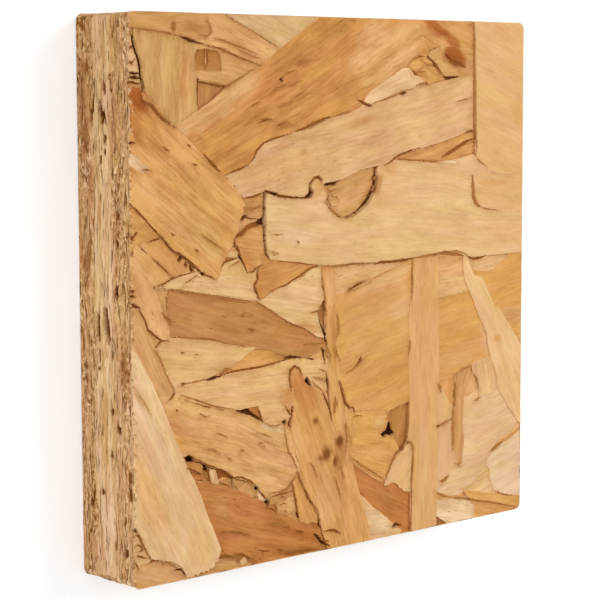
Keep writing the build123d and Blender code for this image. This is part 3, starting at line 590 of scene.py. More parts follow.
STAINS = {
    "left_honey": [
        Stain("red_brown", 0.6, 1.8, 85.8, 4, 2.4, -50), Stain("russet", 0.95, 2.2, 85.2, 8, 4.4, -50),
        Stain("russet", 0.8, 1.4, 80.6, 10, 3.4, -72), Stain("orange", 0.9, 4, 82.5, 11, 5, -58),
        Stain("red_brown", 0.95, 1.9, 85, 7.5, 4, -60), Stain("umber", 0.4, 5.2, 81.2, 7, 1.2, -52),
        Stain("umber", 0.3, 12, 72.5, 10, 1, -42), Stain("orange", 0.5, 20, 62, 10, 1.6, -40),
        Stain("amber", 0.5, 8, 77.5, 14, 4, -42), Stain("straw", 0.6, 15, 63, 16, 5, -40),
        Stain("pink_tan", 0.5, 5, 69, 12, 3, -38), Stain("pink_tan", 0.9, 11, 62.4, 9, 4, -40),
        Stain("straw", 0.8, 16.6, 59.8, 8, 4, -40), Stain("orange", 0.8, 5, 79, 9, 4, -60)],
    "mid_long": [
        Stain("ivory", 0.6, 34, 63.6, 11, 7, -8), Stain("straw", 0.35, 38, 58, 16, 3, -5),
        Stain("cream_pink", 0.4, 55, 57, 22, 4, 3), Stain("honey", 0.45, 89.6, 58.9, 3.4, 1.2, -4),
        Stain("pink_tan", 0.5, 60, 67, 6, 5, 60), Stain("cream_pink", 0.6, 37, 63, 14, 6, -6),
        # The brown stain at 58.8, 68.6 is painted shadow beside the half-round hollow
        Stain("pink_tan", 0.4, 95, 57.5, 12, 5, 0), Stain("brown", 0.75, 58.8, 68.6, 6, 2.2, 72),
        Stain("honey", 0.6, 61.8, 71.4, 6, 4, 0), Stain("honey", 0.6, 43.4, 68.4, 5, 4, 60),
        Stain("ivory", 0.6, 38, 59.6, 10, 4, -5)],
    "amber_big": [
        Stain("straw", 0.7, 62, 92.5, 22, 11, 28), Stain("russet", 0.45, 40, 91.3, 4, 3, 0),
        Stain("russet", 0.35, 47, 96, 16, 5, 30), Stain("cream_pink", 0.75, 19.5, 84.6, 24, 6, 31),
        Stain("russet", 0.35, 31.5, 91.6, 7, 3.6, 20), Stain("brown", 0.35, 28, 80.4, 16, 4, 22),
        Stain("brown", 0.6, 16, 77.4, 4, 1.6, -48), Stain("cream_pink", 0.2, 13, 80.8, 5, 1.6, 12),
        Stain("tan", 0.95, 20, 85, 26, 4.6, 30), Stain("brown", 0.5, 28, 80.5, 12, 4, 20),
        Stain("umber", 0.55, 31, 81.2, 5, 0.9, -4), Stain("umber", 0.5, 36, 80, 6, 0.9, 8),
        Stain("gap", 0.7, 34.4, 88.6, 0.9, 0.9, 0), Stain("umber", 0.4, 36.6, 89.3, 5, 0.8, -15),
        Stain("brown", 0.6, 40, 85, 10, 3, 30), Stain("brown", 0.5, 50, 87, 12, 2.4, 27),
        Stain("orange", 0.8, 42, 87, 26, 10, 27), Stain("brown", 0.85, 37, 93, 12, 3, 33),
        Stain("brown", 0.85, 47.5, 97, 13, 3, 30), Stain("umber", 0.6, 39.6, 91.5, 3.6, 1.6, 10),
        Stain("pink_tan", 0.9, 61, 94, 24, 9, 22), Stain("brown", 0.4, 24, 74.5, 8, 3, 25),
        Stain("russet", 0.45, 33, 86.5, 12, 7, 25), Stain("pink_tan", 0.8, 57.8, 98.2, 10, 5, 25),
        Stain("straw", 0.8, 25.4, 89, 8, 3.4, 31), Stain("brown", 0.5, 35, 92, 7, 4, 30)],
    "amber_field": [
        Stain("orange", 0.4, 52, 36, 12, 5, 20), Stain("straw", 0.4, 62, 46.5, 14, 6, 14),
        Stain("straw", 0.35, 60, 40, 26, 16, 12), Stain("orange", 0.35, 60, 34, 20, 10, 12),
        Stain("umber", 0.5, 53.6, 34.9, 3.2, 1, 25), Stain("honey", 0.7, 57, 45, 20, 8, 14),
        Stain("straw", 0.6, 62, 51.5, 12, 2, 14), Stain("straw_light", 0.8, 59.5, 50.4, 17, 5, 14),
        Stain("straw_light", 0.7, 65, 44.6, 7, 6, 14)],
    "russet_bottom": [
        Stain("honey", 0.6, 19.5, 11.6, 7, 3.4, -55), Stain("russet", 0.6, 26, 11, 24, 4, -30),
        Stain("red_brown", 0.1, 22, 8, 14, 4, -25), Stain("red_brown", 0.2, 31.4, 3.4, 9, 2.6, -14),
        Stain("umber", 0.1, 32, 4, 16, 4, -17), Stain("umber", 0.6, 39, 1, 14, 1.6, -4),
        Stain("umber", 0.4, 25, 6.6, 5, 1, -17), Stain("orange", 0.6, 17, 14.5, 10, 3, -20),
        Stain("red_brown", 0.6, 38, 4.6, 11, 1.2, -24), Stain("umber", 0.45, 33.4, 7.6, 7, 0.8, -26),
        Stain("umber", 0.45, 42, 5.6, 5, 0.8, -30), Stain("orange", 0.5, 34, 9.6, 10, 1.6, -30),
        Stain("orange", 0.5, 26, 7, 12, 6, -25)],
    "streaky_honey": [
        # The ivory stain at 32, 25 is a painted highlight along the top edge of this strand
        Stain("ivory", 0.9, 32, 25, 7, 2.2, -20), Stain("orange", 0.4, 11.4, 24.4, 6, 4.6, -30),
        Stain("amber", 0.5, 20, 24, 22, 6, -18), Stain("orange", 0.7, 9.8, 27, 10, 4, -62),
        Stain("straw_light", 0.6, 31, 23.5, 10, 3, -18)],
    "pink_low": [Stain("ivory", 0.8, 58.5, 3.4, 9, 5, -35)],
    "corner_brown": [
        Stain("umber", 0.9, 9.8, 97.4, 2.1, 1.3, 80), Stain("brown", 0.5, 13.5, 97.6, 7, 2.6, 0),
        Stain("tan", 0.5, 3, 98.6, 6, 2.4, 0)],
    "left_small_low": [Stain("amber", 0.4, 5, 56.4, 9, 3, -38)],
    "yellow_right": [
        Stain("straw", 0.5, 80, 33.6, 12, 4, 6), Stain("cream_pink", 0.8, 89.4, 35, 6, 3.4, -60)],
    "low_floor": [Stain("brown", 0.9, 64, 21.4, 12, 12, 0)],
    "thin_strip": [
        Stain("pink_tan", 0.5, 46, 49, 9, 2, -88), Stain("orange", 0.6, 47, 40, 14, 2.4, -87),
        Stain("pink_tan", 0.6, 48, 28, 9, 3, -75), Stain("amber", 0.8, 47.2, 26, 7, 3, -80)],
    "pink_plank": [
        Stain("grey_tan", 0.4, 75, 79.2, 2.6, 1.4, 12), Stain("brown", 0.35, 70.2, 77.8, 1, 1, 0),
        Stain("orange", 0.35, 53, 80.4, 12, 2, 12), Stain("tan", 0.7, 32, 72.5, 22, 5, 12),
        Stain("cream", 0.4, 66, 79, 26, 5, 12), Stain("grey_brown", 0.5, 39.8, 75.3, 2.2, 1.1, 8),
        Stain("cream_pink", 0.55, 55, 77, 14, 5, 12)],
    "right_strand": [
        Stain("grey_tan", 0.5, 89.6, 90.1, 2.6, 1, -15), Stain("grey_tan", 0.5, 91.6, 74, 3, 1.4, -10),
        Stain("amber", 0.4, 93, 98.6, 8, 2, 0), Stain("honey", 0.45, 98, 83, 9, 4, 90)],
    "right_patch": [
        Stain("honey", 0.6, 90, 68, 10, 1.8, -4), Stain("cream_pink", 0.5, 97, 65, 6, 5, 0),
        Stain("straw", 0.6, 88, 66, 7, 4, 0)],
    "tan_wedge": [
        Stain("orange", 0.6, 33.6, 38.4, 5, 2.4, -10), Stain("brown", 0.6, 33.5, 38.2, 7, 1.8, 0)],
    "grey_brown": [
        Stain("brown", 0.6, 41, 39.4, 9, 2.4, -4), Stain("russet", 0.5, 38, 41.5, 13, 5, -20),
        Stain("umber", 0.5, 8, 47, 2.6, 1.2, -50), Stain("umber", 0.5, 27.4, 43.6, 1.6, 1, 0)],
    "amber_wedge": [Stain("grey_brown", 0.6, 72.3, 75.6, 4, 1.2, 10)],
    "russet_low": [Stain("brown", 0.5, 60, 8.4, 16, 4, -30)],
    "grey_tan": [Stain("honey", 0.7, 12.3, 88, 15, 4, 90)],
    "top_strip": [Stain("red_brown", 0.6, 27, 93, 8, 1.2, -17)],
    "honey_low": [Stain("straw_light", 0.8, 59.3, 22.8, 4.4, 2.4, 20)],
    "pale_diagonal": [
        Stain("pink_tan", 0.8, 3.6, 16, 24, 6, -68), Stain("ivory", 0.6, 6.5, 25, 26, 3.4, -63),
        Stain("ivory", 0.5, 2.4, 30.5, 8, 2.2, -58), Stain("tan_dark", 0.6, 13.1, 6.3, 1.6, 1.4, 0),
        Stain("grey_tan", 0.7, 15.9, 5.6, 1, 0.8, 0), Stain("grey_tan", 0.6, 2, 33.5, 9, 1.6, -52),
        Stain("straw", 0.7, 14, 5.5, 9, 6, -63), Stain("ivory", 0.6, 2.6, 38.5, 9, 3, -62),
        Stain("straw_light", 0.5, 13.5, 13, 20, 4, -66)],
    "upright_tan": [
        Stain("russet", 0.85, 40, 31, 12, 7, -66), Stain("orange", 0.5, 42, 24, 10, 5, -66),
        Stain("umber", 0.9, 45.2, 18.8, 2.8, 3.2, 20), Stain("umber", 0.8, 43.9, 17.9, 3.6, 1.7, -12),
        Stain("umber", 0.75, 42.5, 25.1, 2.2, 1.9, 0), Stain("brown", 0.85, 48.5, 18.4, 8, 3.6, 84),
        Stain("umber", 0.9, 48.7, 20.5, 2.8, 2.8, 0), Stain("umber", 0.85, 47.5, 16.9, 3, 1.4, 85),
        Stain("gap", 0.55, 48.7, 20.6, 2, 2.2, 0), Stain("gap", 0.4, 45.3, 18.4, 2.2, 1.5, 20),
        Stain("gap", 0.45, 47.4, 16.9, 2, 0.9, 85), Stain("gap", 0.3, 42.6, 25.2, 1.3, 1, -30),
        Stain("pink_tan", 0.6, 37.4, 22, 9, 2.2, -80), Stain("pink_tan", 0.5, 46, 10, 14, 4, -70),
        Stain("honey", 0.6, 49, 8, 16, 5, -75), Stain("pink_tan", 0.9, 44.6, 8.4, 8, 4, -68)],
    "bottom_left": [Stain("cream_pink", 0.4, 6, 2.6, 18, 6, -10)],
    "bottom_strip": [Stain("cream_pink", 0.35, 26, 2, 14, 4, 0)],
    "cream_long": [
        Stain("straw", 0.6, 23, 54.6, 9, 3, -10), Stain("honey", 0.7, 41, 42.6, 8, 2.4, -25),
        Stain("beige", 0.6, 37, 48, 12, 6, -10)],
    "top_right_tan": [
        Stain("russet", 1, 73.4, 99, 10, 3, -27), Stain("red_brown", 0.75, 78.6, 96, 8, 2.4, -34),
        Stain("red_brown", 0.55, 73.4, 99.1, 8, 2.2, -27),
        Stain("umber", 0.55, 75.8, 97.5, 3.4, 1.5, -12), Stain("umber", 0.5, 83.8, 99.2, 1.6, 1.6, 0),
        Stain("red_brown", 0.6, 74.2, 98, 7, 3.2, -28)],
    "knot_strand": [
        Stain("red_brown", 1, 79.5, 93.3, 8, 4.6, -15), Stain("umber", 0.8, 80, 91.9, 6, 1.6, -14),
        Stain("russet", 0.5, 82.6, 94, 4, 2.4, -20)],
    "pink_upright": [
        Stain("cream_pink", 0.4, 71, 14, 26, 4, 90), Stain("tan", 0.5, 71, 45, 18, 4, 90)],
    "pale_strip": [
        Stain("amber", 0.9, 92.3, 36.4, 2.6, 1.6, -20), Stain("straw_light", 0.5, 97, 26, 10, 6, -60)],
    "edge_pale_orange": [Stain("amber", 0.9, 98, 38, 4.4, 3.2, 0)],
    "pale_yellow": [Stain("straw_light", 0.5, 18, 40, 14, 3, -6)],
    "pale_mid": [Stain("cream", 0.5, 20, 33.4, 18, 2.4, -4)],
    "pink_field": [Stain("cream", 0.5, 88, 16, 12, 6, 20)],
    # These brown stains are painted shade along the hollow's right wall
    "half_round_floor": [
        Stain("brown", 0.4, 55, 70, 9, 3, 15), Stain("brown", 0.6, 55.4, 66.2, 6, 3, 50)],
    "pale_wedge": [Stain("cream", 0.5, 62, 53.4, 14, 3, 5)],
    "orange_small": [Stain("russet", 0.8, 26, 56, 5, 4, -30)],
    "orange_right": [Stain("cream_pink", 0.8, 88.4, 38.6, 6, 3.4, -60)],
}

# An open gap on a sawn edge: its centre along and up, length, width, turn and depth
EdgeGap = namedtuple("EdgeGap", "along up length width turn depth")

EDGE_GAPS = [
    EdgeGap(45.8, 7.9, 6.4, 1.7, -8, 2.2), EdgeGap(45.7, 5.4, 5.8, 0.7, 0, 1.2),
    EdgeGap(86.9, 7.9, 3.4, 0.7, -3, 1.2), EdgeGap(83.2, 7, 3.8, 0.7, -4, 1.2),
    EdgeGap(83.2, 4.5, 5.6, 0.55, 4, 0.9), EdgeGap(78.1, 8.2, 1.6, 0.8, 0, 1.2),
    EdgeGap(76, 8, 1.2, 0.7, 0, 0.9), EdgeGap(30.8, 9, 1.7, 0.8, 0, 1.2),
    EdgeGap(23, 8.7, 1.2, 0.7, 0, 0.9), EdgeGap(14, 2.7, 1.6, 1, 10, 1),
    EdgeGap(6.1, 12.8, 1.7, 1, 28, 1.3), EdgeGap(7, 9.8, 1.3, 0.7, 0, 0.8),
    EdgeGap(40.8, 9.4, 1.7, 0.6, 5, 0.8), EdgeGap(38, 5.5, 1, 0.6, 0, 0.7),
    EdgeGap(16.2, 6, 1.1, 0.7, 0, 0.8), EdgeGap(52, 10.7, 1.8, 0.9, 20, 0.9),
    EdgeGap(89, 9.4, 1.2, 0.6, 0, 0.8), EdgeGap(62, 11.6, 1.6, 0.7, -10, 0.7),
    EdgeGap(8.6, 2.2, 1.3, 0.8, 0, 0.7), EdgeGap(40.4, 5.6, 2.4, 0.6, 4, 0.8),
    EdgeGap(43, 3.3, 3.4, 0.5, 0, 0.7), EdgeGap(27.9, 11, 2.6, 0.8, -30, 0.7),
    EdgeGap(51.3, 11, 1.2, 0.8, 0, 0.9), EdgeGap(60.3, 11.1, 1.6, 0.7, 0, 0.8),
    EdgeGap(65, 11.4, 1.6, 0.9, 0, 0.8), EdgeGap(57.4, 2.6, 8.4, 2.6, 10, 0.3),
    EdgeGap(63.6, 2, 3.4, 1.2, 10, 0.3), EdgeGap(78.4, 2.2, 8, 2.4, 0, 0.32),
    EdgeGap(81.8, 7.6, 2.6, 0.9, 8, 0.9), EdgeGap(86.6, 10, 1.1, 0.6, 0, 0.9),
    EdgeGap(74.6, 6.7, 2.2, 0.6, 0, 0.7), EdgeGap(90.7, 3, 2.8, 2, 0, 0.35),
    EdgeGap(94.4, 12, 7, 2.2, 0, 0.2), EdgeGap(97.6, 12.2, 1.4, 0.8, 20, 0.7),
    EdgeGap(96, 10.6, 2, 0.5, 0, 0.6), EdgeGap(97.8, 1.6, 2.6, 1.8, 0, 0.4),
    EdgeGap(16.8, 14.3, 2.8, 1.4, 0, 0.6), EdgeGap(19.8, 14.3, 3, 1.6, 0, 0.6),
    EdgeGap(11.9, 12.6, 1.6, 0.6, -20, 0.7), EdgeGap(38.6, 12.6, 7, 3, 0, 0.24),
]

# A break in the arris of the better face: its place along the edges, length, inset and drop
Chip = namedtuple("Chip", "along length inset drop")

CHIPS = [
    Chip(98.3, 1.2, 0.5, 0.6), Chip(93.7, 1.4, 0.7, 0.9), Chip(91.5, 1.2, 0.7, 0.9),
    Chip(89.2, 1.8, 0.8, 1), Chip(77.8, 0.9, 0.5, 0.6), Chip(61.8, 1.8, 0.7, 0.9),
    Chip(52, 1.2, 0.5, 0.7), Chip(49.8, 1.4, 0.6, 0.8), Chip(20, 3, 0.5, 0.9), Chip(16.5, 1.6, 0.4, 0.6),
    Chip(10.6, 1.2, 0.6, 0.8), Chip(70.2, 1.2, 0.3, 0.4), Chip(34, 2, 0.25, 0.4), Chip(5, 1.4, 0.3, 0.4),
]


def linear(level):
    """A display level from 0 to 255 as linear light."""
    share = level / 255
    if share <= 0.04045:
        return share / 12.92
    return ((share + 0.055) / 1.055) ** 2.4


def tone(name, description, red, green, blue):
    """A wood colour property, given by its display levels."""
    return FloatVectorProperty(
        name=name, description=description, subtype="COLOR", size=3, min=0.0, max=1.0,
        default=(linear(red), linear(green), linear(blue)))


def length(name, description, default, least, most):
    """A length property, given in millimetres."""
    return FloatProperty(
        name=name, description=description, default=default * MM, min=least * MM, max=most * MM,
        subtype="DISTANCE", unit="LENGTH")


class StrandTones(PropertyGroup):
    """Colours of the wood strands."""

    ivory: tone("Ivory", "Palest strands of all", 232, 196, 154)
    cream: tone("Cream", "Pale sapwood strands", 230, 187, 133)
    cream_pink: tone("Pinkish cream", "Pale strands with a pink cast", 223, 177, 126)
    beige: tone("Beige", "Pale greyish strands", 218, 176, 124)
    straw_light: tone("Light straw", "Pale yellow strands", 225, 179, 122)
    straw: tone("Straw", "Yellow strands", 220, 174, 110)
    honey: tone("Honey", "Warm yellow strands", 215, 159, 96)
    amber: tone("Amber", "Golden strands", 220, 163, 95)
    orange: tone("Orange", "Darker golden heartwood", 208, 147, 83)
    tan: tone("Tan", "Plain tan strands", 215, 164, 106)
    tan_dark: tone("Dark tan", "Shaded tan strands", 205, 152, 94)
    pink_tan: tone("Pinkish tan", "Tan strands with a pink cast", 222, 170, 112)
    grey_tan: tone("Grey tan", "Weathered greyish strands", 204, 159, 101)
    grey_brown: tone("Grey brown", "Dull brown strands", 191, 135, 80)
    russet: tone("Russet", "Reddish strands", 197, 129, 71)
    brown: tone("Brown", "Floors of hollows", 184, 128, 68)
    umber: tone("Umber", "Dark stains and shallow cracks", 146, 88, 36)
    red_brown: tone("Red brown", "Knots", 168, 92, 38)
    # Dusk is painted shade: the brown of cracks and soft lines beside higher strands that lie in shadow
    dusk: tone("Dusk", "Shaded cracks and soft lines", 172, 117, 60)
    pale_pink: tone("Pale pink", "Pale strands with a rosy cast", 228, 186, 139)
    # Pit is a painted shadow, the near black at the bottom of deep holes; gap is the dark brown of open gaps,
    # dark wood deepened by painted shade
    pit: tone("Pit", "Bottom of a deep hole", 52, 22, 6)
    gap: tone("Gap", "Bottom of an open gap", 92, 48, 16)
    edge_light: tone("Edge light", "Long grain on a sawn edge", 247, 209, 165)
    edge_mid: tone("Edge middle", "Middle tone of a sawn edge", 216, 168, 115)
    edge_dark: tone("Edge dark", "Resin and end grain on a sawn edge", 126, 76, 34)


class PanelSizes(PropertyGroup):
    """Sizes of the board's surface."""

    layer_step: length("Layer step", "How much lower each covered strand lies", 0.11, 0.0, 0.5)
    seam_width: length("Seam width", "Reach of the dark line beside a higher strand", 0.26, 0.05, 1.0)
    outline_step: length("Outline step", "Spacing of the points round a strand", 0.5, 0.2, 2.0)
    face_step: length("Face step", "Spacing of the points inside a strand", 1.0, 0.4, 4.0)
    edge_step: length("Edge step", "Spacing of the points on the sawn edges", 0.5, 0.2, 2.0)
    saw_roughness: length("Saw roughness", "Depth of the saw's marks in the edges", 0.16, 0.0, 0.5)
    seed: IntProperty(name="Seed", description="Start of the random draws", default=11, min=0)


class StageSettings(PropertyGroup):
    """Light and camera."""

    key_power: FloatProperty(
        name="Key light", description="Power of the soft lamp above", default=2.6, min=0.0, unit="POWER")
    fill_power: FloatProperty(
        name="Fill light", description="Power of the soft lamp beside the sawn edge", default=1.1,
        min=0.0, unit="POWER")
    sky_strength: FloatProperty(
        name="Sky", description="Strength of the plain white surroundings", default=0.6, min=0.0)
    lens: FloatProperty(
        name="Lens", description="Focal length of the camera", default=117.15, min=10.0,
        subtype="DISTANCE_CAMERA", unit="CAMERA")


class PlaneNoise:
    """Smooth seeded noise over the plane, from -1 to 1."""

    CELLS = 64

    def __init__(self, rng):
        self.table = rng.uniform(-1, 1, (self.CELLS, self.CELLS))

    def __call__(self, x, y):
        cell_x = np.floor(x).astype(int)
        cell_y = np.floor(y).astype(int)
        part_x = smooth_step(x - cell_x, 0, 1)
        part_y = smooth_step(y - cell_y, 0, 1)

        def corner(right, up):
            return self.table[(cell_x + right) % self.CELLS, (cell_y + up) % self.CELLS]

        low = corner(0, 0) * (1 - part_x) + corner(1, 0) * part_x
        high = corner(0, 1) * (1 - part_x) + corner(1, 1) * part_x
        return low * (1 - part_y) + high * part_y


def axes(angle):
    """Unit vectors along and across a way at an angle in degrees."""
    turn = math.radians(angle)
    along = [math.cos(turn), math.sin(turn)]
    return np.array([along, [-along[1], along[0]]])


def oval(offsets, spot):
    """How far out offsets from the middle of a turned oval lie: 1 on its rim."""
    turned = offsets @ axes(spot.turn).T
    return np.hypot(turned[..., 0] / (spot.length / 2), turned[..., 1] / (spot.width / 2))


def smooth_step(value, start, end):
    """0 below start, 1 above end and smooth between them."""
    share = np.clip((value - start) / (end - start), 0, 1)
    return share * share * (3 - 2 * share)


# Points that are handled at a time, and a length too short to matter
BLOCK = 2000
TINY = 1e-9


def inside(points, outline):
    """Which points lie inside a closed outline."""
    x0, y0 = outline[:, 0], outline[:, 1]
    x1, y1 = np.roll(x0, -1), np.roll(y0, -1)
    slope = (x1 - x0) / np.where(y1 == y0, 1.0, y1 - y0)
    result = np.zeros(len(points), dtype=bool)
    for first in range(0, len(points), BLOCK):
        x = points[first:first + BLOCK, 0:1]
        y = points[first:first + BLOCK, 1:2]
        crosses = (y0 > y) != (y1 > y)
        result[first:first + BLOCK] = (crosses & (x < x0 + (y - y0) * slope)).sum(1) % 2 == 1
    return result


def from_outline(points, outline):
    """The way from the nearest point of a closed outline to each point."""
    runs = np.roll(outline, -1, axis=0) - outline
    squares = np.maximum((runs ** 2).sum(1), TINY)
    ways = np.zeros((len(points), 2))
    for first in range(0, len(points), BLOCK):
        block = points[first:first + BLOCK, None] - outline[None]
        share = np.clip((block * runs).sum(2) / squares, 0, 1)
        gaps = block - share[..., None] * runs
        best = (gaps ** 2).sum(2).argmin(1)
        ways[first:first + BLOCK] = gaps[np.arange(len(best)), best]
    return ways


def lengths(ways):
    """Length of each of a list of ways."""
    return np.hypot(ways[:, 0], ways[:, 1])


# Only points this near the sawn square can lie closer to the boundary than a margin, in millimetres
OUTER_BAND = 3.0


def well_inside(points, boundary, margin):
    """Which points lie inside the sawn boundary by a margin."""
    keep = inside(points, boundary)
    outer = np.minimum(points, SIDE - points).min(1) < OUTER_BAND
    check = np.flatnonzero(keep & outer)
    keep[check] = lengths(from_outline(points[check], boundary)) > margin
    return keep


def near(points, outline, reach):
    """Indices of the points in the box round an outline, grown by reach."""
    low = outline.min(0) - reach
    high = outline.max(0) + reach
    return np.flatnonzero(((points >= low) & (points <= high)).all(1))


def counter_clockwise(outline):
    """The outline with its inside on the left."""
    x, y = outline[:, 0], outline[:, 1]
    area = (x * np.roll(y, -1) - np.roll(x, -1) * y).sum()
    return outline if area > 0 else outline[::-1]


def torn_outline(corners, grain, step, rng, end_roughness=0.3, side_roughness=0.07):
    """Close points along an outline, smooth beside the grain and ragged across it."""
    corners = counter_clockwise(np.array(corners, dtype=float))
    along_grain = axes(grain)[0]
    pieces = []
    for start, end in zip(corners, np.roll(corners, -1, axis=0)):
        run = end - start
        reach = np.hypot(*run)
        count = max(1, int(round(reach / step)))
        across = np.array([run[1], -run[0]]) / reach
        torn = abs(across @ along_grain) ** 2
        roughness = side_roughness + (end_roughness - side_roughness) * torn
        shares = np.arange(count) / count
        calm_ends = np.minimum(1, 4 * np.minimum(shares, 1 - shares))
        wander = rng.uniform(-1, 1, count) * roughness * calm_ends
        pieces.append(start + shares[:, None] * run + wander[:, None] * across)
    return np.concatenate(pieces)


def grown(outline, reach):
    """The outline moved outwards by reach, point by point."""
    runs = np.roll(outline, -1, axis=0) - np.roll(outline, 1, axis=0)
    outward = np.stack([runs[:, 1], -runs[:, 0]], 1) / np.maximum(lengths(runs), TINY)[:, None]
    return outline + outward * reach


# The lines between strands are seen about this far below the strands, in millimetres
SEEN_DEPTH = 0.3


def sunk(places, depth):
    """Where places traced as they are seen from the camera lie once they are sunk by a depth."""
    eye = np.array(CAMERA_PLACE) / MM + np.array([SIDE / 2, SIDE / 2, -THICKNESS])
    return places + (places - eye[:2]) * ((np.reshape(depth, (-1, 1)) + SEEN_DEPTH) / eye[2])


# Width of a crack at its ends, as a share of its greatest width
CRACK_END = 0.2


def crack_outline(path, width):
    """A narrow outline along a path, widest at its middle and fine at its ends."""
    path = np.array(path, dtype=float)
    runs = np.gradient(path, axis=0)
    across = np.stack([-runs[:, 1], runs[:, 0]], 1) / lengths(runs)[:, None]
    bulge = np.sqrt(np.sin(np.pi * np.linspace(0, 1, len(path))))
    half = across * (width / 2 * (CRACK_END + (1 - CRACK_END) * bulge))[:, None]
    return np.concatenate([path + half, (path - half)[::-1]])


Patch = namedtuple("Patch", "points depth seam shade rim worn triangles owner")


